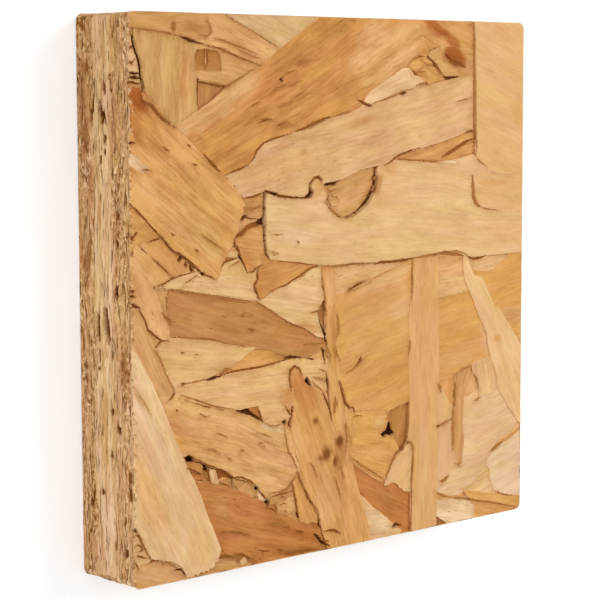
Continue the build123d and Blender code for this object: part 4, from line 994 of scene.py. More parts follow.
class StrandField:
    """A mat of strands seen from outside: what lies on top at each point, and how deep."""

    # Rings of points beside a strand's outline, from inside to outside, and whether each is a crease
    RINGS = [(-0.28, False), (-0.015, True), (0.11, True), (0.42, False)]
    WALL = 0.11
    # How far the rings and the points between them keep from the sawn edge
    RING_MARGIN = 0.15
    GRID_MARGIN = 0.35
    # Start of the points inside strands, and how far they stray and keep clear of rings, in steps
    GRID_START = 0.4
    GRID_STRAY = 0.3
    GRID_CLEAR = 0.4
    # Reach of the soft shade beside a higher strand, of the wear beside the sawn edge and of a rim
    SHADE = 1.3
    WORN = (0.1, 1.2)
    RIM = 0.5
    # How far seams and rims lie lower, and the height of the slow waves over all
    SEAM_SINK = 0.1
    RIM_SINK = 0.035
    WAVE_HEIGHT = 0.05
    # Spacing and raggedness of the points round a gap, and how far it lies at least below its strand
    GAP_STEP = 0.35
    GAP_RAGGED = 0.08
    GAP_SINK = 0.14
    # How dark the seam round a gap is: a dark rim with painted shade beside it
    GAP_SEAM = 0.3
    # Stains up to this width get close points of their own, this far apart
    SMALL_STAIN = 2.6
    STAIN_STEP = 0.4
    STAIN_REACH = 0.6
    # Where a stain starts and stops fading, as shares of its size, and how ragged that is
    STAIN_FADE = (0.45, 1.15)
    STAIN_RAGGED = 0.25
    # Seams fainter than this lose their dark stretches and soft shade too
    FULL_SEAM = 0.25
    # Seams are darker on the side of a strand that faces away from the light
    SHADE_SIDE = np.array([-0.85, -0.5])
    # How much the strands of one tone differ, and where the grain of the next strand starts
    TONE_SPREAD = 0.012
    GRAIN_START = np.array([37.3, 11.9])

    def __init__(self, strands, gaps, sizes, rng, thinning=1):
        self.noise = PlaneNoise(rng)
        self.sizes = sizes
        self.thinning = thinning
        step = sizes.outline_step / MM
        self.entries = list(strands)
        self.outlines = []
        self.sink = np.array([strand.layer for strand in strands]) * (sizes.layer_step / MM)
        for strand, depth in zip(strands, self.sink):
            outline = sunk(np.array(strand.outline, dtype=float), depth)
            self.outlines.append(torn_outline(outline, strand.grain, step, rng)[::thinning])
        opened = []
        for gap in gaps:
            outline = np.array(gap.outline, dtype=float)
            outline = sunk(outline, self.sink[self.owners(outline)])
            opened.append(torn_outline(outline, 0, self.GAP_STEP, rng, self.GAP_RAGGED, self.GAP_RAGGED))
        self.first_strand = len(gaps)
        holes = [Strand("gap", gap.tone, 0, 0, self.GAP_SEAM, gap.outline) for gap in gaps]
        self.entries = holes + self.entries
        self.outlines = opened + self.outlines
        self.sink = np.concatenate([[gap.depth for gap in gaps], self.sink])

    def wander(self, places, count, start=0):
        """Noise at places, with its waves per millimetre and a start of its own."""
        return self.noise(places[..., 0] * count + start, places[..., 1] * count)

    def owners(self, points, first=0):
        """Index of the topmost entry at each point, from the first one asked for."""
        owner = np.full(len(points), len(self.entries) - 1)
        free = np.ones(len(points), dtype=bool)
        for index, outline in enumerate(self.outlines[first:], first):
            chosen = near(points, outline, 0)
            chosen = chosen[free[chosen]]
            chosen = chosen[inside(points[chosen], outline)]
            owner[chosen] = index
            free[chosen] = False
        return owner

    def rings(self, boundary):
        """Points beside every outline that shows, and the creases that link them."""
        rings = []
        following = []
        entry = []
        creased = []
        count = 0
        for index, outline in enumerate(self.outlines[:-1]):
            for reach, crease in self.RINGS:
                rings.append(grown(outline, reach))
                following.append(count + np.roll(np.arange(len(outline)), -1))
                entry.append(np.full(len(outline), index))
                creased.append(np.full(len(outline), crease))
                count += len(outline)
        points = np.concatenate(rings)
        following = np.concatenate(following)
        shows = self.owners(points) >= np.concatenate(entry)
        shows &= well_inside(points, boundary, self.RING_MARGIN)
        numbers = np.cumsum(shows) - 1
        linked = shows & shows[following] & np.concatenate(creased)
        return points[shows], np.stack([numbers[linked], numbers[following[linked]]], 1)

    def stain_points(self, stains):
        """Close points over the small stains, so that they keep their shape."""
        places = [np.zeros((0, 2))]
        for stain in chain.from_iterable(stains.values()):
            if stain.width <= self.SMALL_STAIN:
                half = np.array([stain.length, stain.width]) * self.STAIN_REACH
                steps = [np.arange(-reach, reach, self.STAIN_STEP) for reach in half]
                offsets = np.stack(np.meshgrid(*steps), 2).reshape(-1, 2)
                offsets = offsets[((offsets / half) ** 2).sum(1) < 1]
                places.append(sunk(np.array([[stain.x, stain.y]]), 0) + offsets @ axes(stain.turn))
        return np.concatenate(places)

    def patch(self, boundary, stains, rng):
        """The surface inside a boundary as triangles, with its depth, its dark seams and the painted shade
        beside higher strands.
        """
        ring_points, creases = self.rings(boundary)
        step = self.sizes.face_step / MM
        line = np.arange(self.GRID_START, SIDE, step)
        grid = np.stack(np.meshgrid(line, line), 2)
        grid = grid + rng.uniform(-self.GRID_STRAY, self.GRID_STRAY, grid.shape) * step
        grid = grid[::self.thinning, ::self.thinning].reshape(-1, 2)
        grid = np.concatenate([grid, self.stain_points(stains)])
        grid = grid[well_inside(grid, boundary, self.GRID_MARGIN)]
        cell = self.GRID_CLEAR * step
        taken = set(map(tuple, np.floor(ring_points / cell).astype(int).tolist()))
        clear = [tuple(place) not in taken for place in np.floor(grid / cell).astype(int).tolist()]
        points = np.concatenate([boundary, ring_points, grid[np.array(clear)]])
        rim = np.arange(len(boundary))
        edges = np.concatenate([np.stack([rim, np.roll(rim, -1)], 1), creases + len(boundary)])
        made, _, faces, _, _, _ = delaunay_2d_cdt(
            [Vector(point) for point in points.tolist()], edges.tolist(), [], 0, 1e-5, False)
        points = np.array([(point.x, point.y) for point in made])
        triangles = np.array(faces)
        triangles = triangles[inside(points[triangles].mean(1), boundary)]
        return self.measured(points, triangles)

    def measured(self, points, triangles):
        """Depth, seam, shade and rim values of a triangulated surface."""
        owner = self.owners(points)
        beneath = self.sink[self.owners(points, self.first_strand)]
        opened = np.maximum(self.sink[owner], beneath + self.GAP_SINK)
        depth = np.where(owner < self.first_strand, opened, beneath)
        depth = depth + self.WAVE_HEIGHT * (1 + self.wander(points, 0.21))
        seam, shade, rim = np.zeros((3, len(points)))
        for index, outline in enumerate(self.outlines[:-1]):
            chosen = near(points, outline, self.SHADE)
            chosen = chosen[owner[chosen] >= index]
            ways = from_outline(points[chosen], outline)
            away = lengths(ways)
            own = owner[chosen] == index
            if self.entries[index].name != "gap":
                rim[chosen[own]] = np.maximum(rim[chosen[own]], 1 - smooth_step(away[own], 0, self.RIM))
            below = chosen[~own]
            # Dark seam lines, partly painted shade, and painted soft shade on the lower places beside this
            # outline
            dark, soft = self.seam_and_shade(index, points[below], ways[~own], away[~own])
            seam[below] = np.maximum(seam[below], dark)
            shade[below] = np.maximum(shade[below], soft)
            depth[below] += self.SEAM_SINK * dark
        depth += self.RIM_SINK * rim
        worn = 1 - smooth_step(points[:, 0], *self.WORN)
        owner = self.owners(points[triangles].mean(1))
        return Patch(points, depth, seam, shade, rim, worn, triangles, owner)

    def seam_and_shade(self, index, places, ways, away):
        """How dark the seam and the soft shade beside one outline are at lower places: the seam is a dark
        joint deepened by painted shade, and the soft shade is painted shade. Both are darker on the side away
        from the light.
        """
        line = self.entries[index].seam
        marked = min(1.0, line / self.FULL_SEAM)
        turned = (ways @ self.SHADE_SIDE) / np.maximum(away, TINY)
        spread = 1 + 0.6 * self.wander(places, 0.3, index)
        end = self.WALL + self.sizes.seam_width / MM * spread
        stretches = self.wander(places, 0.16, 7 * index) + 0.6 * self.wander(places, 0.55, 3 * index)
        strength = line * (0.62 + 0.5 * turned) + 0.6 * stretches * marked * (0.4 + line)
        dark = (1 - smooth_step(away, self.WALL, end)) * np.clip(strength, 0, 1)
        soft = (1 - smooth_step(away, 0, self.SHADE)) * np.clip(0.35 + 0.65 * turned, 0, 1)
        return dark, soft * (0.4 * marked + line)

    def tones(self, patch, palette, stains, rng):
        """Colour and grain strength at every corner of every triangle."""
        spread = rng.normal(1.0, self.TONE_SPREAD, len(self.entries))
        colours = np.array([palette[entry.tone] for entry in self.entries]) * spread[:, None]
        corners = patch.points[patch.triangles]
        values = np.repeat(colours[patch.owner][:, None], 3, axis=1)
        names = {entry.name: index for index, entry in enumerate(self.entries)}
        for strand, spots in stains.items():
            chosen = np.flatnonzero(patch.owner == names[strand])
            places = corners[chosen]
            ragged = self.STAIN_RAGGED * self.wander(places, 0.5)
            for stain in spots:
                centre = sunk(np.array([[stain.x, stain.y]]), self.sink[names[strand]])
                fade = smooth_step(oval(places - centre, stain) + ragged, *self.STAIN_FADE)
                change = palette[stain.tone] - values[chosen]
                values[chosen] += change * (stain.amount * (1 - fade))[..., None]
        figure = np.array([FIGURE.get(entry.name, 1.0) for entry in self.entries])[patch.owner]
        return np.concatenate([values, np.repeat(figure[:, None, None], 3, axis=1)], 2)

    def grain_map(self, patch):
        """Place of every corner along and across its strand's grain, with a start of its own."""
        turns = np.array([axes(entry.grain).T for entry in self.entries])[patch.owner]
        start = patch.owner[:, None] * self.GRAIN_START
        return patch.points[patch.triangles] @ turns + start[:, None]


# The face underneath: its strands' tones, their number, how many share a layer and the lowest layer.
# Of the points that the better face would have, it keeps one in so many each way.
BACK_TONES = ["cream", "cream_pink", "straw_light", "straw", "honey", "amber", "tan", "pink_tan", "orange",
              "russet", "grey_tan", "beige"]
BACK_STRANDS = 110
BACK_PER_LAYER = 14
BACK_LAYERS = 4
BACK_THINNING = 2


def back_strands(rng):
    """Random strands for the face that lies underneath."""
    strands = []
    for index in range(BACK_STRANDS):
        centre = rng.uniform(0, SIDE, 2)
        half_length = rng.uniform(28, 85) / 2
        half_width = rng.uniform(6, 17) / 2
        turn = rng.normal(0, 32)
        slant = rng.uniform(-1, 1, 2) * half_width
        corners = [(-half_length, -half_width), (half_length, -half_width),
                   (half_length + slant[0], half_width), (-half_length + slant[1], half_width)]
        outline = centre + np.array(corners) @ axes(turn)
        wood = BACK_TONES[rng.integers(len(BACK_TONES))]
        layer = min(BACK_LAYERS, index // BACK_PER_LAYER)
        strands.append(Strand("back", wood, layer, turn, rng.uniform(0.3, 0.8), outline))
    strands.append(STRANDS[-1])
    return strands


SawnLine = namedtuple("SawnLine", "places outward run")


def sawn_line(step):
    """Points round the sawn square, clockwise from its corner at lowest X and Y."""
    straight = SIDE - 2 * CORNER_RADIUS
    quarter_length = straight + CORNER_RADIUS * math.pi / 2
    total = 4 * quarter_length
    run = np.arange(int(total / step)) * (total / int(total / step))
    quarter = run // quarter_length
    rest = run - quarter * quarter_length
    turn = np.clip((rest - straight) / CORNER_RADIUS, 0, None)
    # On the first side, before it is turned: up the edge at lowest X, then round its far corner
    facing = np.stack([-np.cos(turn), np.sin(turn)], 1)
    upward = CORNER_RADIUS + np.minimum(rest, straight)
    local = np.stack([np.full_like(run, CORNER_RADIUS), upward], 1) + CORNER_RADIUS * facing - SIDE / 2
    cos, sin = np.cos(quarter * math.pi / 2), np.sin(quarter * math.pi / 2)
    turned = [np.stack([cos * x + sin * y, cos * y - sin * x], 1) for x, y in (local.T, facing.T)]
    return SawnLine(turned[0] + SIDE / 2, turned[1], run + CORNER_RADIUS)


def moved_in(line, reach):
    """The points of the sawn line moved in by a reach at each of them."""
    return line.places - line.outward * reach[..., None]


Arris = namedtuple("Arris", "inset drop")

# Every arris is worn this far at least, and the two have so many small breaks up to this size
LEAST_WEAR = 0.13
TOP_CHIPS = (70, 0.4)
BACK_CHIPS = (60, 0.12)


def small_chips(rng, end, count, greatest):
    """Small random breaks along the arris up to an end."""
    chips = []
    for _ in range(count):
        size = rng.uniform(0.1, 1.0) * greatest
        chips.append(Chip(rng.uniform(0, end), rng.uniform(0.4, 1.6), size, size))
    return chips


def worn_arris(run, chips, noise):
    """How far the arris is worn in from the edge and down from the face."""
    inset = LEAST_WEAR + 0.04 * (1 + noise(run * 0.8, np.full_like(run, 0.5)))
    drop = LEAST_WEAR + 0.05 * (1 + noise(run * 0.7, np.full_like(run, 5.5)))
    for chip in chips:
        shape = 1 - smooth_step(np.abs(run - chip.along) / (chip.length / 2), 0.5, 1.1)
        inset = np.maximum(inset, LEAST_WEAR + chip.inset * shape)
        drop = np.maximum(drop, LEAST_WEAR + chip.drop * shape)
    return Arris(inset, drop)


# Gaps at least this deep get the full painted shade at their bottom, and an edge whose own gaps can't
# be seen has so many of them, this far from its ends
DARK_GAP = 0.9
HIDDEN_GAPS = 16
HIDDEN_MARGIN = 2


def hidden_gaps(rng, side):
    """Small open gaps for an edge whose own gaps can't be seen."""
    start = side * SIDE + HIDDEN_MARGIN
    end = (side + 1) * SIDE - HIDDEN_MARGIN
    return [EdgeGap(rng.uniform(start, end), np.clip(rng.normal(7.5, 2.6), 1.5, 13.5),
                    rng.uniform(0.9, 4.5), rng.uniform(0.5, 0.9), rng.normal(0, 5),
                    rng.uniform(0.7, 1.4)) for _ in range(HIDDEN_GAPS)]


def edge_depth(run, up, gaps, noise, roughness):
    """How far a sawn edge lies behind the saw's plane, and how dark its gaps are painted, as shade that
    deepens with their depth.
    """
    depth = roughness * (1 + noise(run * 0.45, up * 1.7)) / 2
    depth = depth + roughness * (1 + noise(run * 0.1 + 9, up * 0.9)) / 2
    dark = np.zeros_like(run)
    ragged = 0.3 * noise(run * 1.9, up * 2.3)
    for gap in gaps:
        out = oval(np.stack([run - gap.along, up - gap.up], -1), gap) + ragged
        hollow = 1 - smooth_step(out, 0.55, 1.15)
        depth = np.maximum(depth, gap.depth * hollow)
        dark = np.maximum(dark, hollow * min(1, gap.depth / DARK_GAP))
    return depth, dark


# The core, whose strands lie crosswise: its bottom and top, and how softly it starts and ends
CORE = (3.9, 10.6)
CORE_BLUR = 1.0


def end_grain(run, up, noise):
    """1 where a sawn edge cuts across the strands and 0 where it runs along them."""
    wander = 0.9 * noise(run * 0.09, np.full_like(up, 3.5))
    low, high = CORE[0] + wander, CORE[1] - wander
    core = smooth_step(up, low, low + CORE_BLUR) * (1 - smooth_step(up, high - CORE_BLUR, high))
    return np.where((run // SIDE) % 2 == 0, 1 - core, core)


SawnBand = namedtuple("SawnBand", "points up dark cut")

# Spacing of the rows up the edges, as a share of that along them, and how far from an arris they
# are calmer, down to this share of their depth
ROW_SPACING = 0.85
ARRIS_FADE = 0.4
ARRIS_DEPTH = 0.3


def sawn_band(line, arris, back_arris, gaps, noise, sizes):
    """Rows of points up the sawn edges, how dark they are and where they cut the strands."""
    rows = int(THICKNESS / (ROW_SPACING * sizes.edge_step / MM))
    shares = np.arange(rows + 1)[:, None] / rows
    run = np.repeat(line.run[None], rows + 1, axis=0)
    up = back_arris.drop + shares * (THICKNESS - arris.drop - back_arris.drop)
    depth, dark = edge_depth(run, up, gaps, noise, sizes.saw_roughness / MM)
    fade = np.minimum(1, np.minimum(up - back_arris.drop, THICKNESS - arris.drop - up) / ARRIS_FADE)
    places = moved_in(line, depth * (ARRIS_DEPTH + (1 - ARRIS_DEPTH) * fade))
    return SawnBand(np.concatenate([places, up[..., None]], 2), up, dark, end_grain(run, up, noise))


class NodeNet:
    """Adds nodes to a tree in rows and links what feeds them."""

    ROW = 6
    SPACING = (240, -320)

    def __init__(self, tree):
        self.tree = tree
        self.count = 0

    def add(self, kind, inputs=None, **settings):
        node = self.tree.nodes.new(kind)
        row, column = divmod(self.count, self.ROW)
        node.location = (self.SPACING[0] * column, self.SPACING[1] * row)
        self.count += 1
        for key, value in settings.items():
            setattr(node, key, value)
        for key, value in (inputs or {}).items():
            self.feed(node.inputs[key], value)
        return node

    def feed(self, socket, value):
        if isinstance(value, bpy.types.NodeSocket):
            self.tree.links.new(value, socket)
        else:
            socket.default_value = value

    def maths(self, operation, first, second):
        return self.add("ShaderNodeMath", {0: first, 1: second}, operation=operation).outputs[0]

    def times(self, first, second):
        return self.maths("MULTIPLY", first, second)

    def plus(self, first, second):
        return self.maths("ADD", first, second)

    def mix(self, share, first, second, blend="MIX"):
        node = self.add("ShaderNodeMix", {0: share, 6: first, 7: second}, data_type="RGBA", blend_type=blend)
        return node.outputs[2]

    def dyed(self, colour, dye, share=1.0):
        """A colour multiplied by a dye, by a share."""
        return self.mix(share, colour, dye, "MULTIPLY")

    def attribute(self, name):
        return self.add("ShaderNodeAttribute", attribute_name=name).outputs

    def noise(self, place, kind):
        """Noise of a kind, stretched by its own counts per millimetre."""
        stretched = self.add("ShaderNodeVectorMath", {0: place, 1: (kind.along, kind.across, 1.0)},
                             operation="MULTIPLY")
        node = self.add("ShaderNodeTexNoise", {
            "Vector": stretched.outputs[0], "Scale": 1.0, "Detail": kind.detail, "Roughness": kind.roughness},
            noise_dimensions="2D")
        return node.outputs["Fac"]

    def change(self, noise, kind):
        """A noise as a change up and down, with its kind's strength."""
        return self.times(self.maths("SUBTRACT", noise, 0.5), kind.strength)

    def swayed(self, place, kind):
        """Places moved across the grain by a slow noise."""
        shift = self.add("ShaderNodeCombineXYZ", {"Y": self.change(self.noise(place, kind), kind)})
        return self.add("ShaderNodeVectorMath", {0: place, 1: shift.outputs[0]}, operation="ADD").outputs[0]

    def between(self, value, start, end):
        """0 at start and 1 at end, smooth between them."""
        node = self.add("ShaderNodeMapRange", {
            "Value": value, "From Min": start, "From Max": end, "To Min": 0.0, "To Max": 1.0},
            interpolation_type="SMOOTHSTEP")
        return node.outputs["Result"]


def opaque(colour):
    """A colour with full alpha."""
    return (*colour, 1.0)


# A noise: its counts per millimetre along and across, detail and roughness, and how strongly it works
Noise = namedtuple("Noise", "along across detail roughness strength", defaults=(3.0, 0.6, 1.0))

GRAIN_SWAY = Noise(0.035, 0.06, 2.0, strength=3.0)
FIBRES = Noise(0.14, 1.9, 5.0, 0.7, 0.9)
BANDS = Noise(0.05, 0.42, 4.0, 0.65, 0.65)
CLOUDS = Noise(0.1, 0.34, 5.0, 0.7, 1.45)
HUES = Noise(0.05, 0.24)
DASHES = Noise(0.5, 2.1, 4.0)
DASHED_AREAS = Noise(0.07, 0.13, 2.0)
SPECKS = Noise(1.3, 1.3)
CRUMBS = Noise(1.1, 1.4, 4.0, 0.7)
EDGE_SWAY = Noise(0.1, 0.25, 2.0, strength=2.0)
EDGE_LAYERS = Noise(0.06, 0.9, 4.0, 0.65, 3.4)
EDGE_FLAKES = Noise(0.45, 1.5, 4.0, 0.7, 0.8)
EDGE_GRIT = Noise(0.85, 1.6, 4.0, 0.7)
EDGE_TEARS = Noise(0.07, 0.22)
EDGE_BLOTCHES = Noise(0.06, 0.24)
EDGE_CRACKS = Noise(0.2, 2.4)

# Colours that the wood's own colours are multiplied by: dyes of the grain and of the sawn edges, and painted
# shade
ROSY = (1.015, 0.975, 1.02, 1.0)
YELLOWED = (1.0, 1.005, 0.91, 1.0)
DEEP_GRAIN = (0.64, 0.5, 0.34, 1.0)
PALE_GRAIN = (1.14, 1.19, 1.24, 1.0)
DASH_BROWN = (0.5, 0.34, 0.18, 1.0)
# Painted shade: the soft shade beside higher strands, and the seams between strands, dark joints deepened by
# shade
SHADE_BROWN = (0.62, 0.52, 0.4, 1.0)
SEAM_AND_SHADE_BROWN = (0.45, 0.31, 0.17, 1.0)
EDGE_STAIN = (0.72, 0.58, 0.45, 1.0)
EDGE_SMOOTH = (0.86, 0.76, 0.64, 1.0)
EDGE_FAR_HALF = (0.74, 0.66, 0.58, 1.0)

# Heights of the materials' own relief
FACE_RELIEF = 0.12 * MM
EDGE_RELIEF = 0.3 * MM

GRAIN_SOCKETS = [
    ("Tone", "INPUT", "NodeSocketColor"), ("Place", "INPUT", "NodeSocketVector"),
    ("Strength", "INPUT", "NodeSocketFloat"), ("Color", "OUTPUT", "NodeSocketColor"),
    ("Relief", "OUTPUT", "NodeSocketFloat"),
]


def grain_group():
    """Wood grain over a plain tone: fibres, bands, short dark dashes and their relief."""
    tree = bpy.data.node_groups.new("Strand grain", "ShaderNodeTree")
    for name, way, kind in GRAIN_SOCKETS:
        tree.interface.new_socket(name=name, in_out=way, socket_type=kind)
    net = NodeNet(tree)
    given = net.add("NodeGroupInput").outputs
    place = net.swayed(given["Place"], GRAIN_SWAY)
    fibre = net.noise(place, FIBRES)
    tint = net.change(fibre, FIBRES)
    for kind in (BANDS, CLOUDS):
        tint = net.plus(tint, net.change(net.noise(place, kind), kind))
    tint = net.plus(net.times(tint, given["Strength"]), 0.7)
    hue = net.between(net.noise(place, HUES), 0.36, 0.64)
    hued = net.dyed(given["Tone"], net.mix(hue, ROSY, YELLOWED))
    streaked = net.mix(tint, net.dyed(hued, DEEP_GRAIN), net.dyed(hued, PALE_GRAIN))
    dashed = net.between(net.noise(given["Place"], DASHED_AREAS), 0.5, 0.66)
    marks = net.times(net.between(net.noise(place, DASHES), 0.63, 0.74), dashed)
    marks = net.times(marks, net.times(given["Strength"], 0.7))
    colour = net.mix(marks, streaked, net.dyed(hued, DASH_BROWN))
    relief = net.maths("SUBTRACT", fibre, net.times(marks, 0.5))
    net.add("NodeGroupOutput", {"Color": colour, "Relief": relief})
    return tree


def grained(net, group, wood, place, strength):
    """What the grain group makes of a wood colour at a place."""
    node = net.add("ShaderNodeGroup", node_tree=group)
    for name, value in (("Tone", wood), ("Place", place), ("Strength", strength)):
        net.feed(node.inputs[name], value)
    return node.outputs


def new_material(name):
    """An empty node material and its net."""
    material = bpy.data.materials.new(name)
    material.use_nodes = True
    material.node_tree.nodes.clear()
    return material, NodeNet(material.node_tree)


def finish_material(net, colour, roughness, relief, relief_height, specular):
    """A principled surface over a colour, a roughness and a relief."""
    bump = net.add("ShaderNodeBump", {"Height": relief, "Distance": relief_height, "Strength": 1.0})
    surface = net.add("ShaderNodeBsdfPrincipled", {
        "Base Color": colour, "Roughness": roughness, "Normal": bump.outputs["Normal"],
        "Specular IOR Level": specular})
    net.add("ShaderNodeOutputMaterial", {"Surface": surface.outputs["BSDF"]})


def face_material(group, tones):
    """Pressed strands: the strand's tone and grain, dark seams deepened by painted shade, painted soft shade
    beside higher strands and rims lightened by a painted highlight.
    """
    material, net = new_material("pressed_face")
    place = net.add("ShaderNodeUVMap", uv_map="grain").outputs["UV"]
    seam, shade, rim, worn = (net.attribute(name)["Fac"] for name in ("seam", "shade", "rim", "worn"))
    strand = net.attribute("tone")
    grain = grained(net, group, strand["Color"], place, strand["Alpha"])
    speck = net.noise(place, SPECKS)
    crumbs = net.noise(place, CRUMBS)
    # Painted highlight: the rim of each higher strand is lightened towards cream, as if its edge caught the
    # light
    painted_rim_highlight = net.times(net.times(rim, net.between(speck, 0.35, 0.7)), 0.3)
    wood = net.mix(painted_rim_highlight, grain["Color"], opaque(tones.cream))
    chipped = net.times(worn, net.between(crumbs, 0.54, 0.62))
    wood = net.mix(net.times(chipped, 0.85), wood, opaque(tones.edge_dark))
    splintered = net.times(worn, net.between(crumbs, 0.46, 0.38))
    wood = net.mix(net.times(splintered, 0.8), wood, opaque(tones.edge_light))
    # Painted soft shade beside higher strands
    wood = net.dyed(wood, SHADE_BROWN, net.times(shade, net.plus(speck, 0.15)))
    # Seams: dark joints deepened by painted shade, as dark as an open gap where strongest
    dark_seam_and_shade = net.times(seam, net.plus(speck, 0.5))
    wood = net.dyed(wood, SEAM_AND_SHADE_BROWN, net.between(dark_seam_and_shade, 0.05, 1.0))
    wood = net.mix(net.between(dark_seam_and_shade, 0.75, 1.3), wood, opaque(tones.gap))
    roughness = net.plus(net.times(grain["Relief"], 0.25), 0.5)
    finish_material(net, wood, roughness, grain["Relief"], FACE_RELIEF, 0.03)
    return material


def edge_material(group, tones):
    """Sawn edge: long streaks where it runs along the strands, torn speckle where it cuts them and painted
    shade in its open gaps.
    """
    material, net = new_material("sawn_edge")
    place = net.add("ShaderNodeUVMap", uv_map="grain").outputs["UV"]
    cut, seam = (net.attribute(name)["Fac"] for name in ("end_grain", "seam"))
    dark, middle, light = (opaque(wood) for wood in (tones.edge_dark, tones.edge_mid, tones.edge_light))
    swayed = net.swayed(place, EDGE_SWAY)
    flakes = net.noise(swayed, EDGE_FLAKES)
    grit = net.noise(swayed, EDGE_GRIT)
    blotch = net.noise(place, EDGE_BLOTCHES)
    stained = net.times(net.between(blotch, 0.5, 0.64), 0.65)

    streaks = net.change(net.noise(swayed, EDGE_LAYERS), EDGE_LAYERS)
    streaks = net.plus(streaks, net.change(flakes, EDGE_FLAKES))
    long_wood = net.mix(net.between(net.plus(streaks, 0.6), 0.0, 1.0), middle, light)

    cut_wood = net.mix(net.between(flakes, 0.34, 0.52), dark, middle)
    cut_wood = net.mix(net.between(grit, 0.51, 0.6), cut_wood, light)
    pitted = net.times(net.between(grit, 0.43, 0.37), net.between(blotch, 0.36, 0.52))
    cut_wood = net.dyed(net.mix(pitted, cut_wood, opaque(tones.umber)), EDGE_STAIN, stained)

    smooth_wood = net.dyed(net.dyed(long_wood, EDGE_SMOOTH), EDGE_STAIN, stained)
    torn = net.between(net.noise(place, EDGE_TEARS), 0.42, 0.6)
    rough = net.plus(net.times(torn, 0.6), 0.4)
    wood = net.mix(cut, long_wood, smooth_wood)
    wood = net.mix(net.times(cut, rough), wood, cut_wood)
    cracks = net.times(net.between(net.noise(swayed, EDGE_CRACKS), 0.6, 0.7), 0.8)
    wood = net.mix(cracks, wood, dark)
    wood = grained(net, group, wood, swayed, 0.5)["Color"]

    # The far half of the first edge is darker and greyer
    along = net.add("ShaderNodeSeparateXYZ", {"Vector": place}).outputs["X"]
    far_half_darkening = net.times(net.between(along, 0.45 * SIDE, 0.95 * SIDE),
                          net.between(along, 1.02 * SIDE, 0.99 * SIDE))
    wood = net.dyed(wood, EDGE_FAR_HALF, net.times(far_half_darkening, 0.5))
    # Painted shade in the open gaps, from umber through the gap tone to near black in the deepest
    wood = net.mix(net.between(seam, 0.05, 0.5), wood, opaque(tones.umber))
    wood = net.mix(net.between(seam, 0.4, 0.85), wood, opaque(tones.gap))
    wood = net.mix(net.between(seam, 0.8, 1.0), wood, opaque(tones.pit))
    relief = net.maths("SUBTRACT", net.plus(flakes, net.times(grit, 0.8)), cracks)
    finish_material(net, wood, 0.8, relief, EDGE_RELIEF, 0.02)
    return material


# Where each part of the surface lies on the baked picture: its start there, and its size per millimetre
BAKE_MARGIN = 0.006
BAKE_TOP = (BAKE_MARGIN, BAKE_MARGIN)
BAKE_TOP_SCALE = 0.655 / SIDE
BAKE_BACK = (0.672, BAKE_MARGIN)
BAKE_BACK_SCALE = 0.315 / SIDE
BAKE_FLAT_STRIP = (BAKE_MARGIN, 0.68)
BAKE_UPRIGHT_STRIP = (0.674, 0.345)
BAKE_STRIP_SCALE = 0.0063
BAKE_STRIP_WIDTH = 0.105
# The strips take in this much of each face beside them
BAKE_OVERLAP = 0.6


def bake_face(corners, start, scale):
    """Places on the baked picture for corners of a face."""
    return np.array(start) + np.clip(corners, 0, SIDE) * scale


def bake_edge(run, up):
    """Places on the baked picture for the sawn edges: one strip across the top and three beside it."""
    side = np.clip(run.mean(1, keepdims=True) // SIDE, 0, 3)
    along = np.clip(run - side * SIDE, 0, SIDE) * BAKE_STRIP_SCALE
    height = np.clip(up, -BAKE_OVERLAP, THICKNESS + BAKE_OVERLAP) * BAKE_STRIP_SCALE
    flat = np.stack([along, height], -1) + np.array(BAKE_FLAT_STRIP)
    upright = np.stack([(side - 1) * BAKE_STRIP_WIDTH + height, along], -1) + np.array(BAKE_UPRIGHT_STRIP)
    return np.where((side == 0)[..., None], flat, upright)


def settled(depth):
    """Depths with the highest strand flush with the board's face."""
    return depth - depth.min()


def fitted(points):
    """The points with the board's centre at the origin and its outermost points on the sawn size."""
    low = points.min(0)
    high = points.max(0)
    moved = (points - (low + high) / 2) * (np.array([SIDE, SIDE, THICKNESS]) / (high - low))
    moved[:, 2] += THICKNESS / 2
    return moved


def quads(rows):
    """The corners of the four-sided faces between closed rows of values."""
    low, high = rows[:-1], rows[1:]
    return np.stack([low, high, np.roll(high, -1, 1), np.roll(low, -1, 1)], 2).reshape(-1, 4)


def point_values(mesh, name, parts):
    """Stores one number per point."""
    layer = mesh.attributes.new(name, "FLOAT", "POINT")
    layer.data.foreach_set("value", np.concatenate(parts).astype(np.float32))


def corner_tones(mesh, name, parts):
    """Stores one colour and grain strength per face corner."""
    layer = mesh.attributes.new(name, "FLOAT_COLOR", "CORNER")
    values = np.concatenate([part.reshape(-1, 4) for part in parts])
    layer.data.foreach_set("color", values.astype(np.float32).ravel())


def corner_map(mesh, name, parts):
    """Stores one place per face corner as a UV map."""
    layer = mesh.uv_layers.new(name=name)
    places = np.concatenate([part.reshape(-1, 2) for part in parts])
    layer.uv.foreach_set("vector", places.astype(np.float32).ravel())


# Steps between strands stay sharp where the faces turn by more than this
SHARP_ANGLE = math.radians(32)


